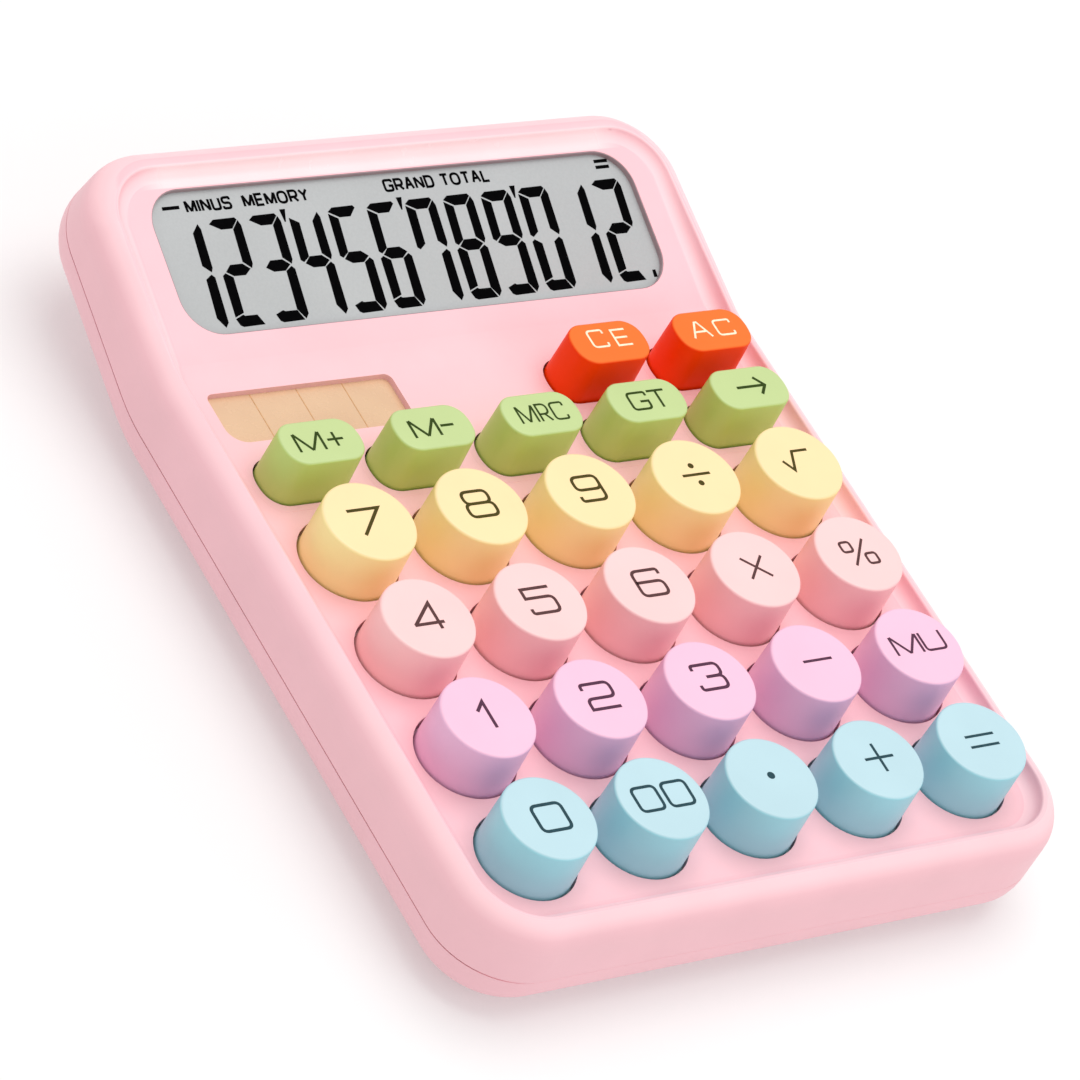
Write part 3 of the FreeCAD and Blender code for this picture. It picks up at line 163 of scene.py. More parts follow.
# Strokes of the legends in a box one unit wide and high; a third number rounds that corner, usually R
R = 0.22
GLYPHS = {
    "0": [[(-.5, -.5, R), (.5, -.5, R), (.5, .5, R), (-.5, .5, R), "closed"]],
    "1": [[(-.5, .17), (.5, .5), (.5, -.5)]],
    "2": [[(-.5, .28), (-.5, .5, R), (.5, .5, R), (.5, -.08, R), (-.5, -.08, R), (-.5, -.5), (.5, -.5)]],
    "3": [[(-.5, .3), (-.5, .5, R), (.5, .5, R), (.5, 0, R), (-.12, 0)],
          [(.1, 0), (.5, 0, R), (.5, -.5, R), (-.5, -.5, R), (-.5, -.3)]],
    "4": [[(.31, -.5), (.31, .5), (-.5, -.25)], [(-.53, -.25), (.5, -.25)]],
    "5": [[(.5, .5), (-.5, .5), (-.5, .12), (.5, .12, R), (.5, -.5, R), (-.5, -.5, R), (-.5, -.3)]],
    "6": [[(.5, .3), (.5, .5, R), (-.5, .5, R), (-.5, -.5, R), (.5, -.5, R), (.5, .04, R), (-.5, .04)]],
    "7": [[(-.5, .5), (.5, .5), (-.33, -.5)]],
    "8": [[(-.46, .02, R), (.46, .02, R), (.46, .5, R), (-.46, .5, R), "closed"],
          [(-.5, -.5, R), (.5, -.5, R), (.5, .02, R), (-.5, .02, R), "closed"]],
    "9": [[(-.5, -.04, R), (.5, -.04, R), (.5, .5, R), (-.5, .5, R), "closed"],
          [(.5, .2), (.5, -.5, R), (-.5, -.5, R), (-.5, -.3)]],
    "+": [[(-.5, 0), (.5, 0)], [(0, -.5), (0, .5)]],
    "-": [[(-.5, 0), (.5, 0)]],
    "=": [[(-.5, .5), (.5, .5)], [(-.5, -.5), (.5, -.5)]],
    "x": [[(-.5, -.5), (.5, .5)], [(-.5, .5), (.5, -.5)]],
    "%": [[(-.34, -.5), (.35, .5)],
          [(-.5, .06, .12), (-.15, .06, .12), (-.15, .46, .12), (-.5, .46, .12), "closed"],
          [(.14, -.5, .12), (.5, -.5, .12), (.5, -.09, .12), (.14, -.09, .12), "closed"]],
    "root": [[(-.5, .05), (-.28, -.5), (-.02, .5), (.5, .5)]],
    "arrow": [[(-.5, 0), (.5, 0)], [(.24, .5), (.5, 0), (.24, -.5)]],
    "A": [[(-.5, -.5), (-.06, .5), (.06, .5), (.5, -.5)], [(-.3, -.12), (.3, -.12)]],
    "C": [[(.5, .28), (.5, .5, R), (-.5, .5, R), (-.5, -.5, R), (.5, -.5, R), (.5, -.28)]],
    "E": [[(.5, .5), (-.5, .5), (-.5, -.5), (.5, -.5)], [(-.5, 0), (.42, 0)]],
    "G": [[(.5, .28), (.5, .5, R), (-.5, .5, R), (-.5, -.5, R), (.5, -.5, R), (.5, -.04), (.05, -.04)]],
    "M": [[(-.5, -.5), (-.5, .5)], [(-.48, .5), (0, -.46)], [(0, -.46), (.48, .5)], [(.5, .5), (.5, -.5)]],
    "R": [[(-.5, -.5), (-.5, .5), (.5, .5, .3), (.5, -.08, .3), (-.5, -.08)], [(.02, -.08), (.5, -.5)]],
    "T": [[(-.5, .5), (.5, .5)], [(0, .5), (0, -.5)]],
    "U": [[(-.5, .5), (-.5, -.5, R), (.5, -.5, R), (.5, .5)]],
    "D": [[(-.5, -.5), (.5, -.5, .5), (.5, .5, .5), (-.5, .5), "closed"]],
    "I": [[(0, -.5), (0, .5)]],
    "L": [[(-.5, .5), (-.5, -.5), (.5, -.5)]],
    "N": [[(-.5, -.5), (-.5, .5)], [(-.48, .5), (.48, -.5)], [(.5, -.5), (.5, .5)]],
    "O": [[(-.5, -.5, .5), (.5, -.5, .5), (.5, .5, .5), (-.5, .5, .5), "closed"]],
    "S": [[(.5, .28), (.5, .5, .4), (-.5, .5, .4), (-.5, 0, .4),
           (.5, 0, .4), (.5, -.5, .4), (-.5, -.5, .4), (-.5, -.28)]],
    "Y": [[(-.5, .5), (0, 0), (.5, .5)], [(0, .08), (0, -.5)]],
}
# Widths of the letters in words, and of the gaps between them, relative to each other
LETTER_WIDTHS = {"I": 0.0, "L": 0.62, "E": 0.66, "M": 0.9, "O": 0.82, "G": 0.8, " ": 0.25}
PLAIN_WIDTH = 0.72
LETTER_GAP = 0.34

# Each key's legend: glyph, middle from the key's own, and size in millimetres; a dot has its radius as size
LEGENDS = {
    "key_0": [("0", .27, .04, 4.85, 4.3)],
    "key_00": [("0", -2.4, .2, 3.95, 3.95), ("0", 2.7, .25, 4.05, 4.0)],
    "key_decimal": [("dot", .04, .42, .6)],
    "key_add": [("+", .19, .19, 5.0, 4.9)],
    "key_equals": [("=", 0, 0, 5.2, 1.84)],
    "key_1": [("1", -.46, .29, 1.54, 4.5)],
    "key_2": [("2", .04, .4, 4.75, 4.3)],
    "key_3": [("3", .2, .6, 4.6, 4.3)],
    "key_subtract": [("-", .38, .42, 5.1, 1)],
    "key_mark_up": [("M", -2.2, .48, 4.7, 3.3), ("U", 2.68, .55, 3.65, 3.2)],
    "key_4": [("4", -.33, .13, 4.74, 4.5)],
    "key_5": [("5", 0, .08, 4.65, 4.35)],
    "key_6": [("6", .15, .27, 4.55, 4.45)],
    "key_multiply": [("x", .17, .17, 3.75, 3.8)],
    "key_percent": [("%", .08, .12, 5.25, 4.5)],
    "key_7": [("7", -.27, -.15, 5.15, 4.4)],
    "key_8": [("8", -.33, .35, 4.7, 4.5)],
    "key_9": [("9", -.12, .4, 4.3, 4.4)],
    "key_divide": [("-", .1, .27, 4.9, 1), ("dot", .08, 1.92, .48), ("dot", .08, -1.32, .48)],
    "key_square_root": [("root", -.11, .35, 5.4, 3.45)],
    "key_memory_add": [("M", -2.1, 0, 4.2, 3.2), ("+", 2.23, 0, 2.6, 2.5)],
    "key_memory_subtract": [("M", -1.56, -.1, 4.3, 3.1), ("-", 2.3, 0, 2.2, 1)],
    "key_memory_recall": [("M", -2.65, .03, 2.8, 3.1), ("R", .32, .03, 1.7, 3.1),
                          ("C", 2.98, .03, 2.2, 3.05)],
    "key_grand_total": [("G", -1.55, -.05, 3.2, 3.1), ("T", 2.12, -.05, 3.0, 3.15)],
    "key_backspace": [("arrow", .18, .05, 5.2, 3.2)],
    "key_clear_entry": [("C", -1.8, .7, 2.7, 3.1), ("E", 2.4, .5, 2.5, 2.95)],
    "key_all_clear": [("A", -2.3, .14, 3.3, 2.95), ("C", 2.25, .14, 2.95, 2.8)],
}

# Keys whose strokes are finer or heavier than the rest, as parts of the usual width
STROKE_WEIGHTS = {
    "key_mark_up": 0.8, "key_percent": 0.83, "key_multiply": 0.83, "key_equals": 0.84, "key_add": 0.88,
    "key_subtract": 0.86, "key_square_root": 0.9, "key_divide": 0.92, "key_00": 0.93,
    "key_memory_recall": 0.84, "key_backspace": 1.2, "key_memory_subtract": 1.08,
    "key_clear_entry": 0.86, "key_all_clear": 0.86,
}

# Where the digits and words lie on the film: a shift in millimetres and a turn in radians
LCD_SHIFT = (-0.96, -0.44)
LCD_TURN = 0.0065

# The digits on the display, in millimetres; the slant is a tangent
SEGMENTS_OF = {"0": "ABCDEF", "1": "BC", "2": "ABDEG", "3": "ABCDG", "4": "BCFG", "5": "ACDFG",
               "6": "ACDEFG", "7": "ABCF", "8": "ABCDEFG", "9": "ABCDFG"}
SHOWN_DIGITS = "123456789012"
DIGIT_PITCH = 6.875
DIGIT_WIDTH = 5.45
DIGIT_HEIGHT = 16.75
DIGIT_BASE = 8.5
DIGIT_SLANT = math.tan(math.radians(3.8))
LAST_DIGIT_X = 38.96

# Outlines of the seven segments, from the digit's lower left corner, before slanting
SEGMENT_OUTLINES = {
    "A": [(0.08, 16.02), (0.94, 16.66), (4.62, 16.70), (4.92, 16.30), (3.77, 15.01), (1.87, 15.01)],
    "B": [(5.05, 16.23), (5.40, 15.36), (5.36, 9.29), (5.03, 8.62), (3.76, 9.74), (3.86, 14.88)],
    "C": [(4.83, 8.29), (5.32, 7.78), (5.26, 0.73), (4.65, -0.03), (3.54, 1.57), (3.73, 7.60)],
    "D": [(-0.23, 1.12), (1.14, 1.66), (1.47, 1.46), (3.52, 1.44), (4.39, -0.16), (0.75, -0.21),
          (0.22, 0.07)],
    "E": [(0.32, 8.26), (-0.21, 7.90), (-0.22, 1.36), (1.39, 1.95), (1.48, 7.50)],
    "F": [(0.02, 15.75), (1.58, 14.84), (1.42, 9.44), (0.33, 8.65), (-0.16, 9.04)],
    "G": [(0.51, 8.43), (1.52, 9.46), (3.61, 9.46), (4.74, 8.56), (3.65, 7.66), (1.67, 7.68)],
}

# The marks between the thousands: the digits that they follow, their place from the digit's middle, and
# their outline
MARKED_DIGITS = (3, 6, 9)
MARK_OFFSET = 4.01375
MARK_TOP = 25.7
MARK_OUTLINE = ((-0.45, 0.0), (-0.25, -2.0), (-0.05, -2.0), (0.55, 0.0))

# The decimal point, and the bars of the minus and equals signs: left, right and level
POINT_OUTLINE = ((41.665, 8.6), (42.315, 8.6), (42.385, 9.8), (41.785, 9.8))
SIGN_BARS = ((-38.7, -35.8, 27.6), (38.85, 41.35, 28.24), (38.8, 41.3, 27.25))
SIGN_HALF = 0.27
SIGN_LEAN = 0.05

# The words on the display: name, letters, left, right and level
DISPLAY_WORDS = (
    ("minus", "MINUS", -34.62, -27.1, 27.58),
    ("memory", "MEMORY", -24.75, -13.68, 27.58),
    ("total", "GRAND TOTAL", 0.1, 18.87, 27.73),
)

# The stage: half the floor's size and the softboxes, in metres, with the lights' powers in watts
FLOOR_REACH = 6.0
FLOOR_GREYS = ((0.63, 0.63, 0.63, 1), (0.65, 0.65, 0.65, 1))
FLOOR_GLOW = 0.27
STUDIO_COLOR = (1.0, 0.985, 0.98, 1)
STUDIO_STRENGTH = 0.70
SOFTBOX_SIZE = 0.9
SOFTBOX_TARGET = (0, 0, 0.02)
SOFTBOXES = (
    ("overhead", (0.1, 0.1, 1.0), 6.05, (1.0, 0.99, 0.98)),
    ("front_right", (0.7, -1.1, 0.6), 2.4, (0.93, 0.95, 0.99)),
)

# The camera: its place is in millimetres from the middle of the keys' tops, GRID_MIDDLE behind the front
CAMERA_LENS = 190.866
CAMERA_NEAR = 0.01
CAMERA_RIGHT = (0.791838, -0.46533, 0.395551)
CAMERA_BACK = (-0.600253, -0.473509, 0.644582)
CAMERA_PLACE = (-485.52, -362.42, 507.17)
GRID_MIDDLE = 49.7

# Scales of the patterns in plastic, metal and the board, and the relief of the plastic's grain in metres
MOTTLE_SCALE = 90
SATIN_SCALE = 420
GRAIN_SCALE = 5200
GRAIN_STRENGTH = 0.25
GRAIN_DEPTH = 0.00002
STREAK_SCALE = 900
TRACK_SCALE = 260

# Usual gloss, and the greys of masks and mottling
PLASTIC_GLOSS = 0.5
INK_GLOSS = 0.12
BLACK, WHITE = (0, 0, 0, 1), (1, 1, 1, 1)
PALE = (0.955, 0.955, 0.955, 1)

# Sockets of a Mix node that mixes colours
MIX_FACTOR, MIX_FIRST, MIX_SECOND, MIX_RESULT = 0, 6, 7, 2


def srgb(red, green, blue):
    """Linear colour of a screen colour given from 0 to 255."""
    def linear(level):
        level /= 255
        return level / 12.92 if level <= 0.04045 else ((level + 0.055) / 1.055) ** 2.4
    return (linear(red), linear(green), linear(blue), 1.0)


class Nodes:
    """A new node material and short ways to add to it."""

    def __init__(self, name):
        self.material = bpy.data.materials.new(name)
        self.material.use_nodes = True
        self.tree = self.material.node_tree
        self.shader = self.tree.nodes["Principled BSDF"]
        self.place = self.add("ShaderNodeTexCoord").outputs["Object"]

    def add(self, kind, **settings):
        node = self.tree.nodes.new(kind)
        for name, value in settings.items():
            setattr(node, name, value)
        return node

    def link(self, output, socket):
        self.tree.links.new(output, socket)

    def noise(self, scale, detail=3.0):
        node = self.add("ShaderNodeTexNoise")
        node.inputs["Scale"].default_value = scale
        node.inputs["Detail"].default_value = detail
        self.link(self.place, node.inputs["Vector"])
        return node.outputs["Fac"]

    def spread(self, value, low, high, start=0.0, end=1.0):
        node = self.add("ShaderNodeMapRange")
        node.inputs["From Min"].default_value = start
        node.inputs["From Max"].default_value = end
        node.inputs["To Min"].default_value = low
        node.inputs["To Max"].default_value = high
        self.link(value, node.inputs["Value"])
        return node.outputs["Result"]

    def ramp(self, value, *stops):
        node = self.add("ShaderNodeValToRGB")
        while len(node.color_ramp.elements) < len(stops):
            node.color_ramp.elements.new(1.0)
        for element, (position, color) in zip(node.color_ramp.elements, stops):
            element.position = position
            element.color = color
        self.link(value, node.inputs["Fac"])
        return node.outputs["Color"]

    def mix(self, factor, first, second, blend="MIX"):
        node = self.add("ShaderNodeMix", data_type="RGBA", blend_type=blend)
        for number, value in ((MIX_FACTOR, factor), (MIX_FIRST, first), (MIX_SECOND, second)):
            if isinstance(value, bpy.types.NodeSocket):
                self.link(value, node.inputs[number])
            else:
                node.inputs[number].default_value = value
        return node.outputs[MIX_RESULT]

    def bump(self, height, strength, distance):
        node = self.add("ShaderNodeBump")
        node.inputs["Strength"].default_value = strength
        node.inputs["Distance"].default_value = distance
        self.link(height, node.inputs["Height"])
        self.link(node.outputs["Normal"], self.shader.inputs["Normal"])

    def upward(self):
        """The upward part of the surface's normal: 1 on a level top, 0 on a wall."""
        split = self.add("ShaderNodeSeparateXYZ")
        self.link(self.add("ShaderNodeNewGeometry").outputs["Normal"], split.inputs["Vector"])
        return split.outputs["Z"]

    def set(self, **values):
        """Sets inputs of the shader, with _ for each space in a name."""
        for name, value in values.items():
            self.shader.inputs[name.replace("_", " ")].default_value = value


def tint(color, factor):
    """The colour made lighter or darker by a factor."""
    return tuple(min(1.0, level * factor) for level in color[:3]) + (1.0,)


def moulded(name, top, shaded_side, roughness=0.42, gloss=PLASTIC_GLOSS):
    """Satin moulded plastic: fine spark-eroded grain, faint mottling, and painted shade that gives the sides
    a deeper colour than the tops.
    """
    nodes = Nodes(name)
    mottle = nodes.noise(MOTTLE_SCALE, detail=4)
    # Painted light and shade by which way the surface faces: the top colour on upward faces, the deeper
    # shaded colour on walls
    faces = nodes.ramp(nodes.upward(), (0.35, shaded_side), (0.9, top))
    shade = nodes.ramp(mottle, (0.3, PALE), (0.7, WHITE))
    nodes.link(nodes.mix(1.0, faces, shade, "MULTIPLY"), nodes.shader.inputs["Base Color"])
    satin = nodes.noise(SATIN_SCALE, detail=2)
    nodes.link(nodes.spread(satin, low=roughness - 0.05, high=roughness + 0.06),
               nodes.shader.inputs["Roughness"])
    nodes.bump(nodes.noise(GRAIN_SCALE, detail=2), GRAIN_STRENGTH, GRAIN_DEPTH)
    nodes.set(Specular_IOR_Level=gloss)
    return nodes.material


def case_plastic():
    """The pink case, with painted light and shade by which way the surface faces: a painted highlight on the
    rounded rims, painted shade on the sides, and a painted highlight band in the cove behind the display,
    which is also smoother there.
    """
    nodes = Nodes("case_pink")
    # Mask of the cove behind the display, where a painted highlight lies and the plastic is also smoother
    split = nodes.add("ShaderNodeSeparateXYZ")
    nodes.link(nodes.place, split.inputs["Vector"])
    along = nodes.spread(split.outputs["Y"], 0, 1, COVE_START, COVE_END)
    along = nodes.ramp(along, (0.0, BLACK), (0.05, WHITE), (0.87, WHITE), (1.0, BLACK))
    across = nodes.spread(split.outputs["X"], 0, 1, -COVE_REACH, COVE_REACH)
    across = nodes.ramp(across, (0.0, BLACK), (0.05, WHITE), (0.95, WHITE), (1.0, BLACK))
    above = nodes.spread(split.outputs["Z"], 0, 1, COVE_BASE, COVE_BASE + MM)
    cove = nodes.mix(1.0, nodes.mix(1.0, along, across, "MULTIPLY"), above, "MULTIPLY")

    # Painted light and shade by which way the surface faces: a painted highlight on the rims, painted shade
    # on the sides
    faces = nodes.ramp(nodes.upward(), (0.45, CASE_SIDE_SHADE), (0.75, CASE_RIM_HIGHLIGHT), (0.94, CASE_RIM_HIGHLIGHT),
                       (0.957, CASE_FACE), (1.0, CASE_DECK))
    # Paints the highlight into the cove
    faces = nodes.mix(cove, faces, CASE_COVE_HIGHLIGHT)
    shade = nodes.ramp(nodes.noise(MOTTLE_SCALE, detail=4), (0.3, PALE), (0.7, WHITE))
    nodes.link(nodes.mix(1.0, faces, shade, "MULTIPLY"), nodes.shader.inputs["Base Color"])
    satin = nodes.spread(nodes.noise(SATIN_SCALE, detail=2), low=0.4, high=0.51)
    polish = nodes.add("ShaderNodeMath", operation="MULTIPLY_ADD")
    nodes.link(cove, polish.inputs[0])
    polish.inputs[1].default_value = -COVE_POLISH
    nodes.link(satin, polish.inputs[2])
    nodes.link(polish.outputs["Value"], nodes.shader.inputs["Roughness"])
    nodes.bump(nodes.noise(GRAIN_SCALE, detail=2), GRAIN_STRENGTH, GRAIN_DEPTH)
    return nodes.material


def metal(name, color, roughness, stretch):
    """Drawn or plated metal with fine streaks, which the stretch draws out along one axis."""
    nodes = Nodes(name)
    streaks = nodes.add("ShaderNodeTexNoise")
    scaling = nodes.add("ShaderNodeMapping")
    scaling.inputs["Scale"].default_value = stretch
    nodes.link(nodes.place, scaling.inputs["Vector"])
    nodes.link(scaling.outputs["Vector"], streaks.inputs["Vector"])
    streaks.inputs["Scale"].default_value = STREAK_SCALE
    streak = streaks.outputs["Fac"]
    nodes.link(nodes.ramp(streak, (0.3, tint(color, 0.8)), (0.7, color)), nodes.shader.inputs["Base Color"])
    nodes.link(nodes.spread(streak, low=roughness - 0.08, high=roughness + 0.1),
               nodes.shader.inputs["Roughness"])
    nodes.bump(streak, strength=0.15, distance=GRAIN_DEPTH)
    nodes.set(Metallic=1.0)
    return nodes.material


def rubber(name, color):
    """Dull rubber with a cloudy colour and a coarse skin."""
    nodes = Nodes(name)
    cloud = nodes.noise(scale=300, detail=5)
    nodes.link(nodes.ramp(cloud, (0.3, tint(color, 0.85)), (0.7, color)), nodes.shader.inputs["Base Color"])
    nodes.link(nodes.spread(nodes.noise(scale=900), low=0.7, high=0.9), nodes.shader.inputs["Roughness"])
    nodes.bump(nodes.noise(scale=4000), strength=0.4, distance=0.00003)
    return nodes.material


def ink(name, color, gloss=INK_GLOSS):
    """Pad-printed ink with a slightly uneven film."""
    nodes = Nodes(name)
    film = nodes.noise(scale=1500, detail=4)
    nodes.link(nodes.ramp(film, (0.3, tint(color, 0.85)), (0.75, tint(color, 1.15))),
               nodes.shader.inputs["Base Color"])
    nodes.link(nodes.spread(nodes.noise(scale=2500), low=0.45, high=0.6), nodes.shader.inputs["Roughness"])
    nodes.set(Specular_IOR_Level=gloss)
    return nodes.material


def liquid_crystal():
    """The grey reflector behind the display's glass, with a fine speckle."""
    nodes = Nodes("lcd_reflector")
    grain = nodes.noise(scale=2600, detail=3)
    cloud = nodes.noise(scale=45, detail=2)
    grey = nodes.ramp(cloud, (0.3, srgb(177, 180, 181)), (0.7, srgb(183, 186, 187)))
    speckle = nodes.ramp(grain, (0.35, PALE), (0.65, WHITE))
    nodes.link(nodes.mix(1.0, grey, speckle, "MULTIPLY"), nodes.shader.inputs["Base Color"])
    nodes.link(nodes.spread(grain, low=0.4, high=0.55), nodes.shader.inputs["Roughness"])
    nodes.set(Specular_IOR_Level=0.25)
    return nodes.material


def clear_sheet():
    """Clear acrylic, nearly invisible apart from a faint sheen."""
    nodes = Nodes("clear_acrylic")
    haze = nodes.noise(scale=250, detail=3)
    nodes.link(nodes.ramp(haze, (0.3, (0.02, 0.02, 0.02, 1)), (0.7, (0.04, 0.04, 0.04, 1))),
               nodes.shader.inputs["Base Color"])
    nodes.link(nodes.spread(haze, low=0.03, high=0.07), nodes.shader.inputs["Roughness"])
    nodes.set(Alpha=0.06, IOR=1.49)
    nodes.material.blend_method = "BLEND"
    return nodes.material


def solar_film():
    """Thin film cells under glass: warm peach with a soft cloudiness."""
    nodes = Nodes("solar_film")
    cloud = nodes.noise(scale=70, detail=3)
    nodes.link(nodes.ramp(cloud, (0.3, srgb(218, 180, 146)), (0.7, srgb(228, 192, 156))),
               nodes.shader.inputs["Base Color"])
    nodes.link(nodes.spread(nodes.noise(scale=700), low=0.22, high=0.32), nodes.shader.inputs["Roughness"])
    nodes.set(Coat_Weight=0.3, Coat_Roughness=0.08)
    return nodes.material


def circuit_green():
    """Solder resist with the faint relief of tracks."""
    nodes = Nodes("solder_resist")
    cells = nodes.add("ShaderNodeTexVoronoi", feature="DISTANCE_TO_EDGE")
    cells.inputs["Scale"].default_value = TRACK_SCALE
    nodes.link(nodes.place, cells.inputs["Vector"])
    edge = cells.outputs["Distance"]
    nodes.link(nodes.ramp(edge, (0.04, srgb(58, 130, 78)), (0.1, srgb(24, 92, 50))),
               nodes.shader.inputs["Base Color"])
    nodes.link(nodes.spread(nodes.noise(scale=800), low=0.3, high=0.42), nodes.shader.inputs["Roughness"])
    nodes.bump(edge, strength=0.3, distance=0.00003)
    return nodes.material


# Colours of the case, with painted light and shade: a painted highlight on its rounded rims, painted shade on
# its sides, display face and deck toned to how the lamps fall, and a painted highlight in the cove behind the
# display
CASE_RIM_HIGHLIGHT = srgb(255, 208, 214)
CASE_SIDE_SHADE = srgb(247, 194, 202)
CASE_FACE = srgb(255, 196, 204)
CASE_DECK = srgb(255, 201, 208)
CASE_COVE_HIGHLIGHT = srgb(255, 220, 223)

# The place of the cove's painted highlight, in metres, and how much smoother the cove is than the rest
COVE_START = BEND_Y + 28.4 * MM
COVE_END = BEND_Y + 31.4 * MM
COVE_REACH = 43.0 * MM
COVE_BASE = 22.6 * MM
COVE_POLISH = 0.2

# Colours of the keys: top, and the sides' deeper colour, which is painted shade
KEY_COLORS = {
    "key_blue": (srgb(186, 218, 227), srgb(154, 216, 228)),
    "key_lilac": (srgb(249, 195, 220), srgb(237, 188, 221)),
    "key_pink": (srgb(250, 207, 206), srgb(255, 199, 199)),
    "key_yellow": (srgb(253, 225, 172), srgb(255, 236, 162)),
    "key_green": (srgb(192, 212, 145), srgb(186, 210, 112)),
    "key_red": (srgb(246, 119, 50), srgb(255, 62, 0)),
}
KEY_GLOSS = {"key_red": 0.12}

# Materials by the record's slots
MATERIALS = {
    "case_pink": case_plastic(),
    "window_clear": clear_sheet(),
    "lcd_glass": liquid_crystal(),
    "solar_cells": solar_film(),
    "silicone": rubber("silicone", srgb(222, 220, 214)),
    "board_green": circuit_green(),
    "potting_black": moulded("potting_black", srgb(24, 24, 26), srgb(20, 20, 22), roughness=0.25),
    "can_aluminium": metal("can_aluminium", srgb(205, 207, 210), roughness=0.35, stretch=(0.05, 1, 1)),
    "holder_white": moulded("holder_white", srgb(232, 231, 226), srgb(224, 222, 216)),
    "ribbon_amber": moulded("ribbon_amber", srgb(201, 128, 44), srgb(190, 116, 36), roughness=0.3),
    "cell_steel": metal("cell_steel", srgb(200, 199, 196), roughness=0.3, stretch=(1, 0.05, 1)),
    "contact_steel": metal("contact_steel", srgb(190, 189, 184), roughness=0.32, stretch=(0.05, 1, 1)),
    "lead_red": moulded("lead_red", srgb(190, 22, 18), srgb(184, 18, 14)),
    "lead_black": moulded("lead_black", srgb(26, 26, 27), srgb(22, 22, 23)),
    "screw_steel": metal("screw_steel", srgb(180, 180, 181), roughness=0.36, stretch=(1, 1, 0.05)),
    "foot_rubber": rubber("foot_rubber", srgb(84, 82, 84)),
}
for slot, (top, shaded_side) in KEY_COLORS.items():
    MATERIALS[slot] = moulded(slot, top, shaded_side, gloss=KEY_GLOSS.get(slot, PLASTIC_GLOSS))

# Materials of the printed and added pieces
LEGEND_INKS = {
    "key_blue": ink("ink_on_blue", srgb(38, 70, 79)),
    "key_lilac": ink("ink_on_lilac", srgb(84, 50, 72)),
    "key_pink": ink("ink_on_pink", srgb(88, 58, 58)),
    "key_yellow": ink("ink_on_yellow", srgb(73, 64, 18)),
    "key_green": ink("ink_on_green", srgb(46, 66, 10)),
    "key_red": ink("cream_ink", srgb(255, 236, 205), gloss=0.4),
}
CRYSTAL_INK = ink("crystal_black", srgb(8, 8, 9), gloss=0.0)
CELL_LINE = ink("cell_line", srgb(206, 158, 110), gloss=0.3)
# A dark grey liner that paints the shade on the wall of the display's opening
SHADE_LINER = rubber("painted_shade_liner", srgb(170, 150, 155))


def dress_cad_nodes():
    """Gives every CAD node the material of its slot."""
    for entry in frame["record"]["subparts"]:
        node = NODES[entry["node"]]
        node.data.materials.clear()
        node.data.materials.append(MATERIALS[entry["material_slot"]])


def rounded(points, radius_scale, closed):
    """The stroke's points with each marked corner replaced by a short arc."""
    path = []
    count = len(points)
    for i, point in enumerate(points):
        corner = Vector(point[:2])
        inner = closed or 0 < i < count - 1
        if len(point) < 3 or not inner:
            path.append(corner)
            continue
        before, after = Vector(points[i - 1][:2]), Vector(points[(i + 1) % count][:2])
        reach = min(point[2] * radius_scale, (before - corner).length * 0.5, (after - corner).length * 0.5)
        start = corner + (before - corner).normalized() * reach
        end = corner + (after - corner).normalized() * reach
        for step in range(ARC_STEPS + 1):
            t = step / ARC_STEPS
            path.append(start * (1 - t) ** 2 + corner * 2 * t * (1 - t) + end * t ** 2)
    previous = [path[-1] if closed else None] + path[:-1]
    return [point for point, before in zip(path, previous)
            if before is None or (point - before).length > SAME_POINT]


def bridge(bm, loops):
    """Faces between each loop of points and the next."""
    for loop, following in zip(loops, loops[1:]):
        for i in range(len(loop)):
            j = (i + 1) % len(loop)
            bm.faces.new((loop[i], loop[j], following[j], following[i]))


def loft(bm, loops):
    """Faces between each loop of points and the next, closed at both ends."""
    bridge(bm, loops)
    bm.faces.new(reversed(loops[0]))
    bm.faces.new(loops[-1])


def add_ribbon(bm, path, closed, width, place, lift=0.0):
    """A thin raised stroke of even width along a flat path, with mitred joints."""
    count = len(path)
    edges = []
    for i, point in enumerate(path):
        ahead = path[(i + 1) % count] - point if closed or i < count - 1 else point - path[i - 1]
        behind = point - path[i - 1] if closed or i > 0 else ahead
        ahead, behind = ahead.normalized(), behind.normalized()
        normal = Vector((-ahead.y - behind.y, ahead.x + behind.x)).normalized()
        lean = max(MITRE_LIMIT, normal.dot(Vector((-ahead.y, ahead.x))))
        offset = normal * (width / 2 / lean)
        edges.append((point + offset, point - offset))
    rings = []
    for left, right in edges:
        ring = [(left, INK_HEIGHT + lift), (right, INK_HEIGHT + lift), (right, 0), (left, 0)]
        rings.append([bm.verts.new(place @ (Vector((p.x, p.y, h)) * MM)) for p, h in ring])
    if closed:
        bridge(bm, rings + rings[:1])
    else:
        loft(bm, rings)


def add_slab(bm, outline, place, height=INK_HEIGHT):
    """A thin raised patch with the given outline."""
    top = [bm.verts.new(place @ (Vector((x, y, height)) * MM)) for x, y in outline]
    low = [bm.verts.new(place @ (Vector((x, y, 0)) * MM)) for x, y in outline]
    bm.faces.new(top)
    bm.faces.new(reversed(low))
    for i in range(len(outline)):
        j = (i + 1) % len(outline)
        bm.faces.new((top[i], low[i], low[j], top[j]))


def disc(x, y, radius):
    """The outline of a round patch."""
    turns = [2 * math.pi * i / DISC_STEPS for i in range(DISC_STEPS)]
    return [(x + radius * math.cos(t), y + radius * math.sin(t)) for t in turns]


def add_glyph(bm, glyph, x, y, width, height, stroke, place):
    """The strokes of a letter, digit or sign of the given middle and size."""
    for i, points in enumerate(GLYPHS[glyph]):
        closed = points[-1] == "closed"
        scaled = [(x + p[0] * width, y + p[1] * height, *p[2:]) for p in points if p != "closed"]
        add_ribbon(bm, rounded(scaled, height, closed), closed, stroke, place, i * STROKE_LIFT)


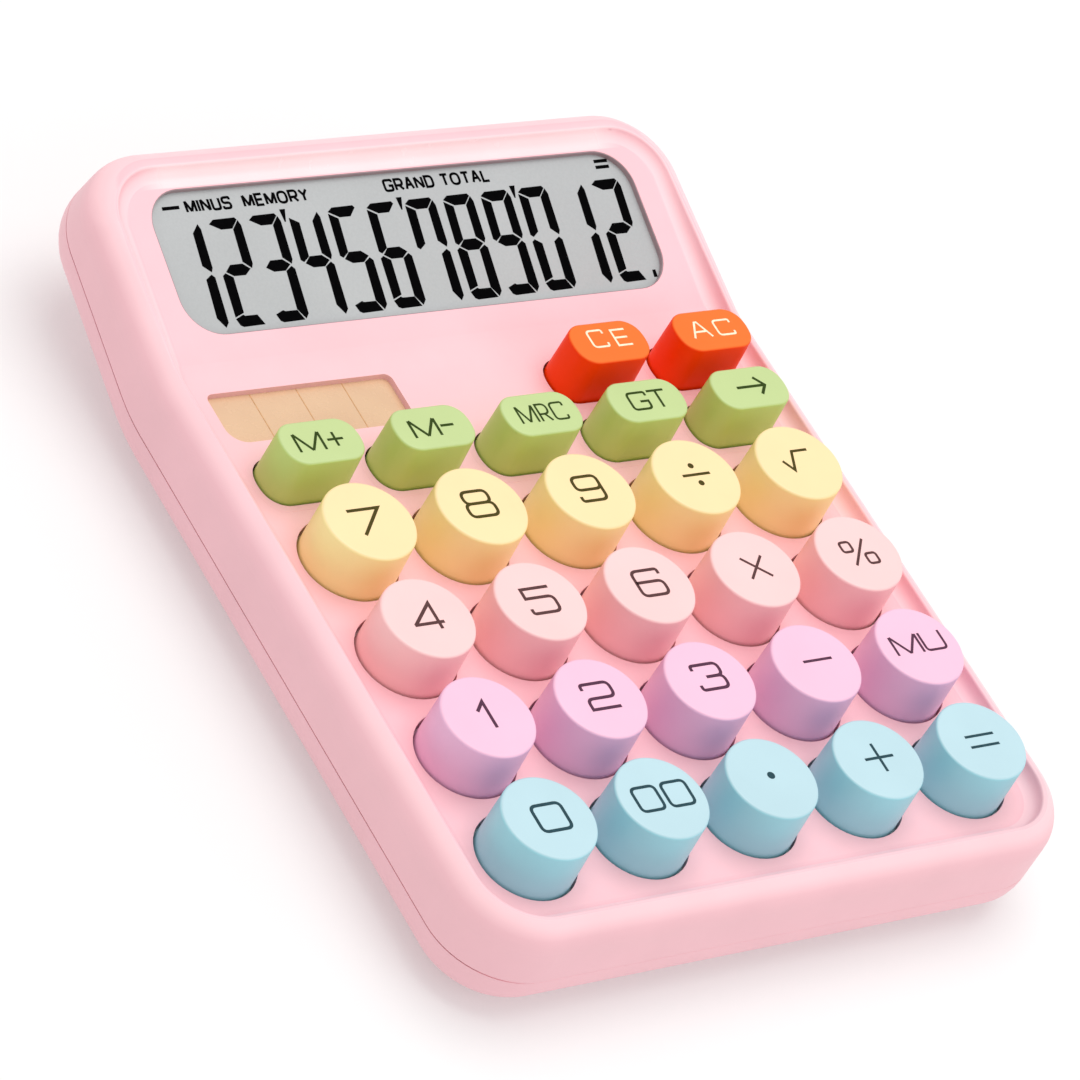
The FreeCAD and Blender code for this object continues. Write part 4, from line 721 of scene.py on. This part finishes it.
def finish_piece(bm, name, material, body, smooth=False):
    """Turns a bmesh into a piece that rides on a body."""
    bmesh.ops.recalc_face_normals(bm, faces=bm.faces)
    mesh = bpy.data.meshes.new(name)
    bm.to_mesh(mesh)
    bm.free()
    if smooth:
        mesh.shade_smooth()
        mesh.set_sharp_from_angle(angle=SHARP_ANGLE)
    mesh.materials.append(material)
    piece = bpy.data.objects.new(name, mesh)
    bpy.context.scene.collection.objects.link(piece)
    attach(piece, body)
    return piece


def slot_of(node):
    """The material slot that the record gives a node."""
    return next(entry["material_slot"] for entry in frame["record"]["subparts"] if entry["node"] == node)


def key_middle(key):
    """The middle of a key's top."""
    low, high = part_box(key)
    return Vector(((low.x + high.x) / 2, (low.y + high.y) / 2, high.z))


def flat_circle(radius, half_depth, corner):
    """A circle cut by two flats along X, with rounded corners."""
    middle = Vector((math.sqrt((radius - corner) ** 2 - (half_depth - corner) ** 2), half_depth - corner))
    turn = math.atan2(middle.y, middle.x)
    quarter = []
    for i in range(FLANK_STEPS):
        angle = turn * i / FLANK_STEPS
        quarter.append((radius * math.cos(angle), radius * math.sin(angle)))
    for i in range(CORNER_STEPS + 1):
        angle = turn + (math.pi / 2 - turn) * i / CORNER_STEPS
        quarter.append((middle.x + corner * math.cos(angle), middle.y + corner * math.sin(angle)))
    half = quarter + [(-x, y) for x, y in reversed(quarter)]
    return half + [(x, -y) for x, y in reversed(half[1:-1])]


def oblong_rings():
    """Rings of an oblong key's skin, from its post through its inside and flange up to its top."""
    def cap(depth, inset=0.0):
        growth = depth * OBLONG_DRAFT - inset
        return flat_circle(OBLONG_RADIUS + growth, OBLONG_HALF_DEPTH + growth, OBLONG_CORNER + growth)

    inside = flat_circle(*OBLONG_CAVITY)
    post = [tuple(Vector(point).normalized() * POST_RADIUS) for point in inside]
    base = cap(OBLONG_FLANGE_TOP)
    growth = OBLONG_FLANGE_TOP * OBLONG_DRAFT
    flange = flat_circle(OBLONG_RADIUS + growth + OBLONG_FLANGE_REACH,
                         OBLONG_HALF_DEPTH + growth - OBLONG_FLANGE_INSET, OBLONG_CORNER)
    rings = [(post, POST_BOTTOM), (post, OBLONG_CEILING),
             (inside, OBLONG_CEILING), (inside, OBLONG_FLANGE_BOTTOM),
             (flange, OBLONG_FLANGE_BOTTOM), (flange, OBLONG_FLANGE_TOP), (base, OBLONG_FLANGE_TOP)]
    for i in range(EDGE_STEPS + 1):
        angle = math.pi / 2 * i / EDGE_STEPS
        depth = OBLONG_EDGE * (1 - math.sin(angle))
        rings.append((cap(depth, OBLONG_EDGE * (1 - math.cos(angle))), depth))
    return rings


def mould_oblong_keys():
    """The keys with two flats, with the soft corners that the photograph shows."""
    rings = oblong_rings()
    for key in LEGENDS:
        slot = slot_of(key)
        if slot not in OBLONG_SLOTS:
            continue
        middle = key_middle(key)
        bm = bmesh.new()
        loops = [[bm.verts.new(middle + Vector((x, y, -depth)) * MM) for x, y in outline]
                 for outline, depth in rings]
        loft(bm, loops)
        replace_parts(finish_piece(bm, f"cap_{key}", MATERIALS[slot], key, smooth=True), key)


def soften_key_holes():
    """A thin pink collar round each oblong key, which rounds the corners of its hole."""
    growth = KEY_RISE * OBLONG_DRAFT + COLLAR_PLAY
    inner = flat_circle(OBLONG_RADIUS + growth, OBLONG_HALF_DEPTH + growth, OBLONG_CORNER + growth)
    growth += COLLAR_WIDTH
    outer = flat_circle(OBLONG_RADIUS + growth, OBLONG_HALF_DEPTH + growth, OBLONG_CORNER)
    profile = ((outer, 0), (outer, COLLAR_HEIGHT), (inner, COLLAR_HEIGHT), (inner, 0))
    for key in LEGENDS:
        if slot_of(key) not in OBLONG_SLOTS:
            continue
        middle = key_middle(key) - Vector((0, 0, KEY_RISE * MM))
        bm = bmesh.new()
        loops = [[bm.verts.new(middle + Vector((x, y, height)) * MM) for x, y in outline]
                 for outline, height in profile]
        bridge(bm, loops + loops[:1])
        finish_piece(bm, f"collar_{key}", MATERIALS["case_pink"], "case")


def lay_dome_sheet():
    """The silicone sheet on the board, with holes below its domes and round the bosses."""
    low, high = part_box("key_dome_sheet")
    middle = key_middle("key_6")
    pitch_x = key_middle("key_multiply").x - middle.x
    pitch_y = key_middle("key_9").y - middle.y
    reach = (DOME_BASE + SHEET_MARGIN) * MM
    step_x, step_y = pitch_x - reach, key_middle("key_memory_add").y + reach
    outlines = [[(low.x, low.y), (high.x, low.y), (high.x, high.y), (step_x, high.y), (step_x, step_y),
                 (low.x, step_y)]]
    for column, row in BOSS_PLACES:
        outlines.append(disc(middle.x + column * pitch_x, middle.y + row * pitch_y, BOSS_HOLE * MM))
    for key in LEGENDS:
        outlines.append(disc(key_middle(key).x, key_middle(key).y, (DOME_BASE - DOME_WALL) * MM))
    bm = bmesh.new()
    for outline in outlines:
        corners = [bm.verts.new((x, y, low.z)) for x, y in outline]
        for corner, following in zip(corners, corners[1:] + corners[:1]):
            bm.edges.new((corner, following))
    bmesh.ops.triangle_fill(bm, use_beauty=True, edges=bm.edges[:])
    raised = bmesh.ops.extrude_face_region(bm, geom=bm.faces[:])["geom"]
    bmesh.ops.translate(bm, verts=[item for item in raised if isinstance(item, bmesh.types.BMVert)],
                        vec=(0, 0, SHEET_THICKNESS * MM))
    bm.faces.sort(key=lambda face: face.calc_center_median().dot(FACE_ORDER))
    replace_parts(finish_piece(bm, "dome_sheet", MATERIALS["silicone"], "case"), "key_dome_sheet")


def raise_domes():
    """A hollow silicone dome below each key."""
    low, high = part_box("key_dome_sheet")
    foot = low.z + SHEET_THICKNESS * MM
    height = (high.z - foot) / MM
    profile = [(DOME_TOP - DOME_WALL, height - DOME_WALL), (DOME_BASE - DOME_WALL, 0), (DOME_BASE, 0),
               (DOME_TOP + DOME_EDGE / 2, height - DOME_EDGE), (DOME_TOP - DOME_EDGE / 2, height)]
    for key in LEGENDS:
        middle = key_middle(key)
        middle.z = foot
        bm = bmesh.new()
        loops = [[bm.verts.new(middle + Vector((x, y, level)) * MM) for x, y in disc(0, 0, radius)]
                 for radius, level in profile]
        loft(bm, loops)
        dome = finish_piece(bm, f"dome_{key}", MATERIALS["silicone"], "case", smooth=True)
        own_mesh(dome)


def close_front_seam():
    """A pink fillet in the seam along the front, where the photograph shows no line."""
    front = CAD_BOX[0][1] / MM
    reach = CAD_BOX[1][0] / MM - CASE_CORNER
    path = []
    for middle, first in ((-reach, FRONT_ANGLE - SEAM_SWEEP), (reach, FRONT_ANGLE)):
        for i in range(SEAM_STEPS + 1):
            angle = math.radians(first + SEAM_SWEEP * i / SEAM_STEPS)
            fade = min(1.0, abs(math.degrees(angle) - FRONT_ANGLE) / SEAM_SWEEP)
            radius = CASE_CORNER - SEAM_INSET - SEAM_FADE * fade ** 2
            path.append((Vector((math.cos(angle), math.sin(angle))), middle, radius))
    bm = bmesh.new()
    rings = []
    for ray, middle, radius in path:
        ring = []
        for depth, height in ((0, 1), (0, -1), (SEAM_FILL, -1), (SEAM_FILL, 1)):
            x, y = ray * (radius - depth)
            place = Vector((middle + x, front + CASE_CORNER + y, SEAM_Z + height * SEAM_HALF))
            ring.append(bm.verts.new(place * MM))
        rings.append(ring)
    loft(bm, rings)
    finish_piece(bm, "front_seam_fillet", MATERIALS["case_pink"], "case")


def window_outline(inset):
    """The display opening's outline, drawn in by the inset."""
    left, right, front, rear = WINDOW
    corner = WINDOW_CORNER - inset
    outline = []
    for x, y, start in ((right, rear, 0), (left, rear, 90), (left, front, 180), (right, front, 270)):
        middle_x = x - math.copysign(WINDOW_CORNER, x)
        middle_y = y + (WINDOW_CORNER if y == front else -WINDOW_CORNER)
        for i in range(CORNER_STEPS + 1):
            angle = math.radians(start + 90 * i / CORNER_STEPS)
            outline.append((middle_x + corner * math.cos(angle), middle_y + corner * math.sin(angle)))
    return outline


def lay_display_film():
    """The grey film on the window's sheet, on which the digits show."""
    place = DISPLAY @ Matrix.Translation((0, 0, -WINDOW_LIP * MM))
    bm = bmesh.new()
    add_slab(bm, window_outline(FILM_PLAY), place, FILM_HEIGHT)
    finish_piece(bm, "display_film", MATERIALS["lcd_glass"], "case")


def paint_window_shade():
    """A thin grey liner on the wall of the display's opening, a dark sheet that paints the shade on that
    wall.
    """
    outer = window_outline(FILM_PLAY)
    inner = window_outline(FILM_PLAY + LINER_WIDTH)
    profile = ((outer, LCD_DEPTH), (outer, LINER_DROP), (inner, LINER_DROP), (inner, LCD_DEPTH))
    bm = bmesh.new()
    loops = [[bm.verts.new(DISPLAY @ (Vector((x, y, -depth)) * MM)) for x, y in outline]
             for outline, depth in profile]
    bridge(bm, loops + loops[:1])
    finish_piece(bm, "window_painted_shade", SHADE_LINER, "case")


def print_legends():
    """The signs printed on the keys' tops."""
    for key, marks in LEGENDS.items():
        place = Matrix.Translation(key_middle(key))
        slot = slot_of(key)
        stroke = SMALL_STROKE if slot in OBLONG_SLOTS else LEGEND_STROKE
        stroke *= STROKE_WEIGHTS.get(key, 1.0)
        bm = bmesh.new()
        for mark in marks:
            if mark[0] == "dot":
                add_slab(bm, disc(*mark[1:]), place)
            else:
                add_glyph(bm, *mark, stroke, place)
        finish_piece(bm, f"legend_{key}", LEGEND_INKS[slot], key)


def digit_segments(x, y):
    """Outlines of the seven segments of a digit whose lower left corner is at x, y before slanting."""
    half = DIGIT_HEIGHT / 2
    return {key: [(x + px + (py - half) * DIGIT_SLANT, y + py) for px, py in points]
            for key, points in SEGMENT_OUTLINES.items()}


def lcd_place():
    """The film's surface, where the digits and words lie."""
    shift = Matrix.Translation(Vector((*LCD_SHIFT, -LCD_DEPTH)) * MM)
    return DISPLAY @ shift @ Matrix.Rotation(LCD_TURN, 4, "Z")


def digit_middle(number):
    """The middle of a digit, counted from the left from 1."""
    return LAST_DIGIT_X - (len(SHOWN_DIGITS) - number) * DIGIT_PITCH


def show_digits():
    """The twelve digits with their thousands marks and the decimal point."""
    place = lcd_place()
    bm = bmesh.new()
    for number, digit in enumerate(SHOWN_DIGITS, 1):
        segments = digit_segments(digit_middle(number) - DIGIT_WIDTH / 2, DIGIT_BASE)
        for key in SEGMENTS_OF[digit]:
            add_slab(bm, segments[key], place)
    for number in MARKED_DIGITS:
        left = digit_middle(number) + MARK_OFFSET
        add_slab(bm, [(left + x, MARK_TOP + y) for x, y in MARK_OUTLINE], place)
    add_slab(bm, POINT_OUTLINE, place)
    finish_piece(bm, "display_digits", CRYSTAL_INK, "case")


def show_words():
    """The small plain words and signs above the digits."""
    place = lcd_place()
    bm = bmesh.new()
    for left, right, level in SIGN_BARS:
        low, high = level - SIGN_HALF, level + SIGN_HALF
        add_slab(bm, [(left, low), (right, low), (right + SIGN_LEAN, high), (left + SIGN_LEAN, high)], place)
    finish_piece(bm, "display_signs", CRYSTAL_INK, "case")
    for name, words, left, right, level in DISPLAY_WORDS:
        widths = [LETTER_WIDTHS.get(letter, PLAIN_WIDTH) for letter in words]
        unit = (right - left) / (sum(widths) + LETTER_GAP * (len(words) - 1))
        bm = bmesh.new()
        x = left
        for letter, part in zip(words, widths):
            width = part * unit
            if letter != " ":
                add_glyph(bm, letter, x + width / 2, level, width, WORD_HEIGHT, WORD_STROKE, place)
            x += width + LETTER_GAP * unit
        finish_piece(bm, f"display_word_{name}", CRYSTAL_INK, "case")


def rule_solar_cells():
    """The thin lines between the solar cells."""
    low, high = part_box("solar_panel")
    left, right = low.x / MM + SOLAR_BORDER, high.x / MM - SOLAR_BORDER
    front, rear = low.y / MM + SOLAR_BORDER, high.y / MM - SOLAR_BORDER
    place = Matrix.Translation((0, 0, high.z))
    bm = bmesh.new()
    for i in range(1, SOLAR_CELLS):
        x = left + (right - left) * i / SOLAR_CELLS
        add_ribbon(bm, [Vector((x, front)), Vector((x, rear))], False, CELL_LINE_WIDTH, place)
    finish_piece(bm, "solar_cell_lines", CELL_LINE, "case")


def add_stage():
    """A plain pale floor and soft light."""
    floor_mesh = bpy.data.meshes.new("floor")
    reach = FLOOR_REACH
    corners = [(-reach, -reach, 0), (reach, -reach, 0), (reach, reach, 0), (-reach, reach, 0)]
    floor_mesh.from_pydata(corners, [], [(0, 1, 2, 3)])
    floor = bpy.data.objects.new("floor", floor_mesh)
    bpy.context.scene.collection.objects.link(floor)
    nodes = Nodes("floor_paper")
    darker, lighter = FLOOR_GREYS
    nodes.link(nodes.ramp(nodes.noise(scale=6, detail=2), (0.3, darker), (0.7, lighter)),
               nodes.shader.inputs["Base Color"])
    nodes.set(Roughness=0.9, Specular_IOR_Level=0.1, Emission_Color=WHITE, Emission_Strength=FLOOR_GLOW)
    floor_mesh.materials.append(nodes.material)

    world = bpy.data.worlds.new("studio")
    world.use_nodes = True
    background = world.node_tree.nodes["Background"]
    background.inputs["Color"].default_value = STUDIO_COLOR
    background.inputs["Strength"].default_value = STUDIO_STRENGTH
    bpy.context.scene.world = world

    for name, place, power, color in SOFTBOXES:
        add_softbox(name, place, power, color)
    bpy.context.scene.view_settings.view_transform = "Standard"


def add_softbox(name, place, power, color):
    """A square area light that looks at the part."""
    light = bpy.data.lights.new(name, "AREA")
    light.size = SOFTBOX_SIZE
    light.energy = power
    light.color = color
    lamp = bpy.data.objects.new(name, light)
    lamp.location = place
    lamp.rotation_euler = (Vector(SOFTBOX_TARGET) - Vector(place)).to_track_quat("-Z", "Y").to_euler()
    bpy.context.scene.collection.objects.link(lamp)


def add_camera():
    """The camera at the photograph's viewing angle."""
    camera = bpy.data.cameras.new("camera")
    camera.lens = CAMERA_LENS
    camera.clip_start = CAMERA_NEAR
    eye = bpy.data.objects.new("camera", camera)
    right = Vector(CAMERA_RIGHT).normalized()
    back = Vector(CAMERA_BACK)
    back = (back - right * back.dot(right)).normalized()
    up = back.cross(right)
    turn = Matrix((right, up, back)).transposed().to_4x4()
    grid = Vector((0, CAD_BOX[0][1] + GRID_MIDDLE * MM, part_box("key_5")[1].z))
    eye.matrix_world = Matrix.Translation(grid + Vector(CAMERA_PLACE) * MM) @ turn
    bpy.context.scene.collection.objects.link(eye)
    bpy.context.scene.camera = eye


dress_cad_nodes()
mould_oblong_keys()
soften_key_holes()
lay_dome_sheet()
raise_domes()
close_front_seam()
lay_display_film()
paint_window_shade()
print_legends()
show_digits()
show_words()
rule_solar_cells()
add_stage()
add_camera()
